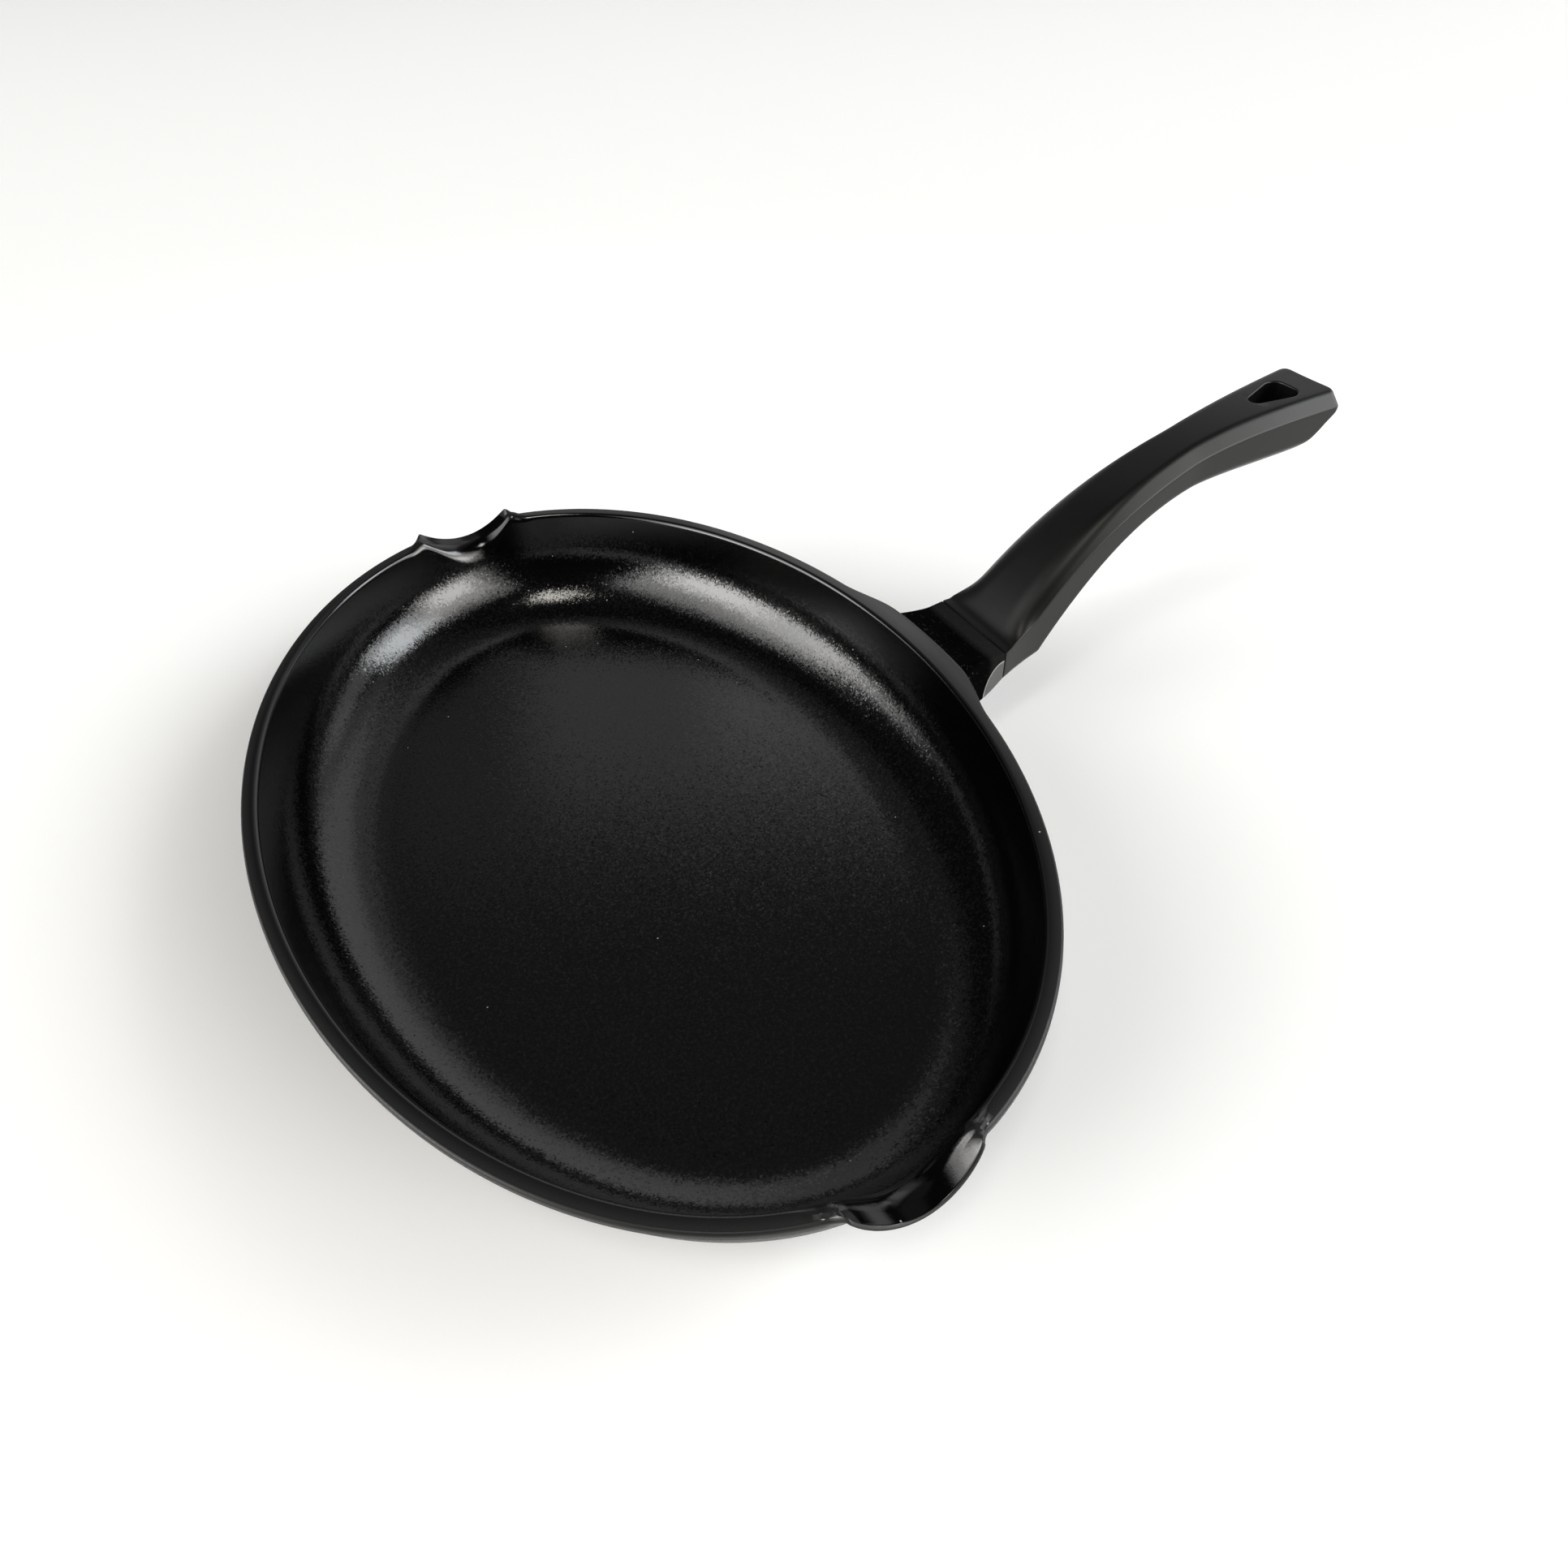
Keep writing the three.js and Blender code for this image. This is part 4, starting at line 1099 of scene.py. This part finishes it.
def turned_steel():
    """Steel plate with fine oval turning lines."""
    made, tree, shader = material("turned_steel")
    point = place(tree)
    axis = axes(tree, point)
    across = maths(tree, "MULTIPLY", axis[0], RECESS_HALF_LENGTH / RECESS_HALF_WIDTH)
    away = maths(tree, "SQRT", sum_of_squares(tree, across, axis[1]))
    line = add(tree, "ShaderNodeCombineXYZ", X=away, Y=0.0, Z=0.0).outputs[0]
    rings = noise(tree, line, scale=1500, detail=3.0, rough=0.7)
    cloud = noise(tree, point, scale=40, detail=4.0)
    both = mixed(tree, rings, cloud, share=0.75)
    feed(shader.inputs["Base Color"], blend_colour(tree, both, grey(0.4), grey(0.62)))
    shader.inputs["Metallic"].default_value = 1
    roughen(tree, shader, both, low=0.26, high=0.42)
    feed(shader.inputs["Normal"], bump(tree, rings, strength=0.2, distance=FINE_GRAIN))
    return made


def finish_mesh(thing, materials, sharp):
    mesh = thing.data
    mesh.materials.clear()
    for one in materials:
        mesh.materials.append(one)
    mesh.shade_smooth()
    mesh.set_sharp_from_angle(angle=sharp)


def casting():
    stud_top = RECESS_TOP + CLEARANCE
    studs = [bar("stud", x, y, STUD_DIAMETER, 0, stud_top, sides=40) for x, y in stud_places()]
    body = combine(bowl(), [lug(), *studs], "UNION")
    bare = metal("bare_aluminium", grey(0.45), grey(0.6), stretch=(900, 900, 900), low=0.3, high=0.5)
    finish_mesh(body, [coating(), outside(), facet(), bare, lug_coat()], PIECE_SHARP_ANGLE)
    for face in body.data.polygons:
        face.material_index = casting_slot(*(face.center / MM), face.normal)
    return body


def casting_slot(x, y, z, normal):
    """The finish of a face of the casting, by its place and the way it looks."""
    in_recess = math.hypot(x / RECESS_HALF_WIDTH, y / RECESS_HALF_LENGTH) < RECESS_ENDS_AT
    if in_recess and z < RECESS_TOP + SLOT_MARGIN:
        return BARE
    back = PARTING_X - x
    if 0 < back < LUG_BLOCK and abs(normal.y) > FACET_LOOKS_ASIDE and FLAT_LOW < z < facet_top(back):
        return FACET
    past_lip = math.hypot(x / RIM_HALF_WIDTH, y / RIM_HALF_LENGTH) > LUG_STARTS_AT
    on_lug = x > 0 and abs(y) < LUG_HALF_WIDTH + LUG_BLOCK
    if normal.z > LUG_LOOKS_UP and on_lug and past_lip:
        return LUG
    way = Vector((x / RIM_HALF_WIDTH ** 2, y / RIM_HALF_LENGTH ** 2, 0))
    outwards = normal.dot(way.normalized())
    return OUTSIDE if normal.z < OUTSIDE_LOOKS_DOWN or outwards > OUTSIDE_LOOKS_OUT else INSIDE


def grip_slot(x, y, z, normal):
    """The finish of a face of the grip: the hanging hole's upright wall, or the skin."""
    end = PARTING_X + GRIP_LENGTH - HOLE_TAIL_DISTANCE
    along = end - HOLE_LENGTH - HOLE_MARGIN < x < end + HOLE_MARGIN
    inside = along and abs(y) < HOLE_HALF_WIDTH + HOLE_MARGIN and z < top_side(x) - HOLE_ROUND
    return HOLE_WALL if inside and abs(normal.z) < WALL_LOOKS_ASIDE else GRIP_SKIN


# Light and camera
def camera():
    back = Vector((
        math.sin(CAMERA_AZIMUTH) * math.cos(CAMERA_ELEVATION),
        -math.cos(CAMERA_AZIMUTH) * math.cos(CAMERA_ELEVATION),
        math.sin(CAMERA_ELEVATION),
    ))
    right = Vector((math.cos(CAMERA_AZIMUTH), math.sin(CAMERA_AZIMUTH), 0))
    up = back.cross(right)
    side = math.cos(CAMERA_ROLL) * right + math.sin(CAMERA_ROLL) * up
    lift = -math.sin(CAMERA_ROLL) * right + math.cos(CAMERA_ROLL) * up
    spot = back * CAMERA_DISTANCE - side * CAMERA_SIDE - lift * CAMERA_LIFT + Vector((0, 0, RIM_HEIGHT))
    data = bpy.data.cameras.new("camera")
    data.sensor_width = SENSOR
    data.sensor_fit = "HORIZONTAL"
    data.lens = SENSOR * FOCAL_PIXELS / IMAGE_PIXELS
    data.clip_start = 0.01
    thing = bpy.data.objects.new("camera", data)
    turn = Matrix((side, lift, back)).transposed().to_4x4()
    thing.matrix_world = Matrix.Translation(spot * MM) @ turn
    bpy.context.scene.collection.objects.link(thing)
    bpy.context.scene.camera = thing


def softbox(name, azimuth, elevation, radiance, tint, away):
    """A soft panel that fills a range of azimuths, from +Y towards +X, and elevations, in degrees."""
    middle = math.radians(sum(azimuth) / 2)
    height = math.radians(sum(elevation) / 2)
    level = math.cos(height)
    toward = Vector((math.sin(middle) * level, math.cos(middle) * level, math.sin(height)))
    data = bpy.data.lights.new(name, "AREA")
    data.shape = "RECTANGLE"
    data.size = 2 * away * math.tan(math.radians(azimuth[1] - azimuth[0]) / 2) * level
    data.size_y = 2 * away * math.tan(math.radians(elevation[1] - elevation[0]) / 2)
    data.energy = radiance * math.pi * data.size * data.size_y
    data.color = tint
    thing = bpy.data.objects.new(name, data)
    thing.location = toward * away
    thing.rotation_euler = toward.to_track_quat("Z", "Y").to_euler()
    thing.visible_camera = False
    bpy.context.scene.collection.objects.link(thing)


def surroundings():
    scene = bpy.context.scene
    scene.view_settings.view_transform = "Standard"
    world = bpy.data.worlds.new("studio")
    world.use_nodes = True
    background = world.node_tree.nodes["Background"]
    background.inputs["Color"].default_value = (0.02, 0.02, 0.021, 1)
    background.inputs["Strength"].default_value = 1
    scene.world = world
    for name, tint, away, panels in LAMPS:
        for k, (azimuth, elevation, radiance) in enumerate(panels):
            softbox(f"{name}_{k}", azimuth, elevation, LIGHT_LEVEL * radiance, tint, away)
    quarters = ((-1, -1), (1, -1), (1, 1), (-1, 1))
    corners = [(x * FLOOR_SPAN, y * FLOOR_SPAN, -FLOOR_DROP) for x, y in quarters]
    floor = make_object("floor", corners, [(0, 1, 2, 3)])
    made, _, shader = material("floor_paint")
    shader.inputs["Base Color"].default_value = (0.98, 0.98, 0.98, 1)
    shader.inputs["Roughness"].default_value = 0.9
    shader.inputs["Specular IOR Level"].default_value = 0.1
    floor.data.materials.append(made)


def dress(name, made):
    """Gives a CAD node its finish."""
    finish_mesh(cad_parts[name], [made], NODE_SHARP_ANGLE)


camera()
surroundings()

pan = casting()
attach(pan, "root")
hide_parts("pan_body")

handle = grip()
finish_mesh(handle, [soft_touch(), shaded_hole_wall()], PIECE_SHARP_ANGLE)
for face in handle.data.polygons:
    face.material_index = grip_slot(*(face.center / MM), face.normal)
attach(handle, "root")
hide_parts("handle_grip")

zinc = metal("zinc_plate", grey(0.42, 0.03), grey(0.6, 0.03), stretch=(1400, 1400, 500), low=0.28, high=0.44)
for fastener in ("handle_screw", "lock_washer", "flat_washer", "screw_bush"):
    dress(fastener, zinc)
dark_brass = (0.5, 0.36, 0.14, 1)
light_brass = (0.68, 0.52, 0.24, 1)
brass = metal("brass", dark_brass, light_brass, stretch=(1400, 1400, 300), low=0.24, high=0.4)
dress("threaded_insert", brass)
dress("induction_plate", turned_steel())
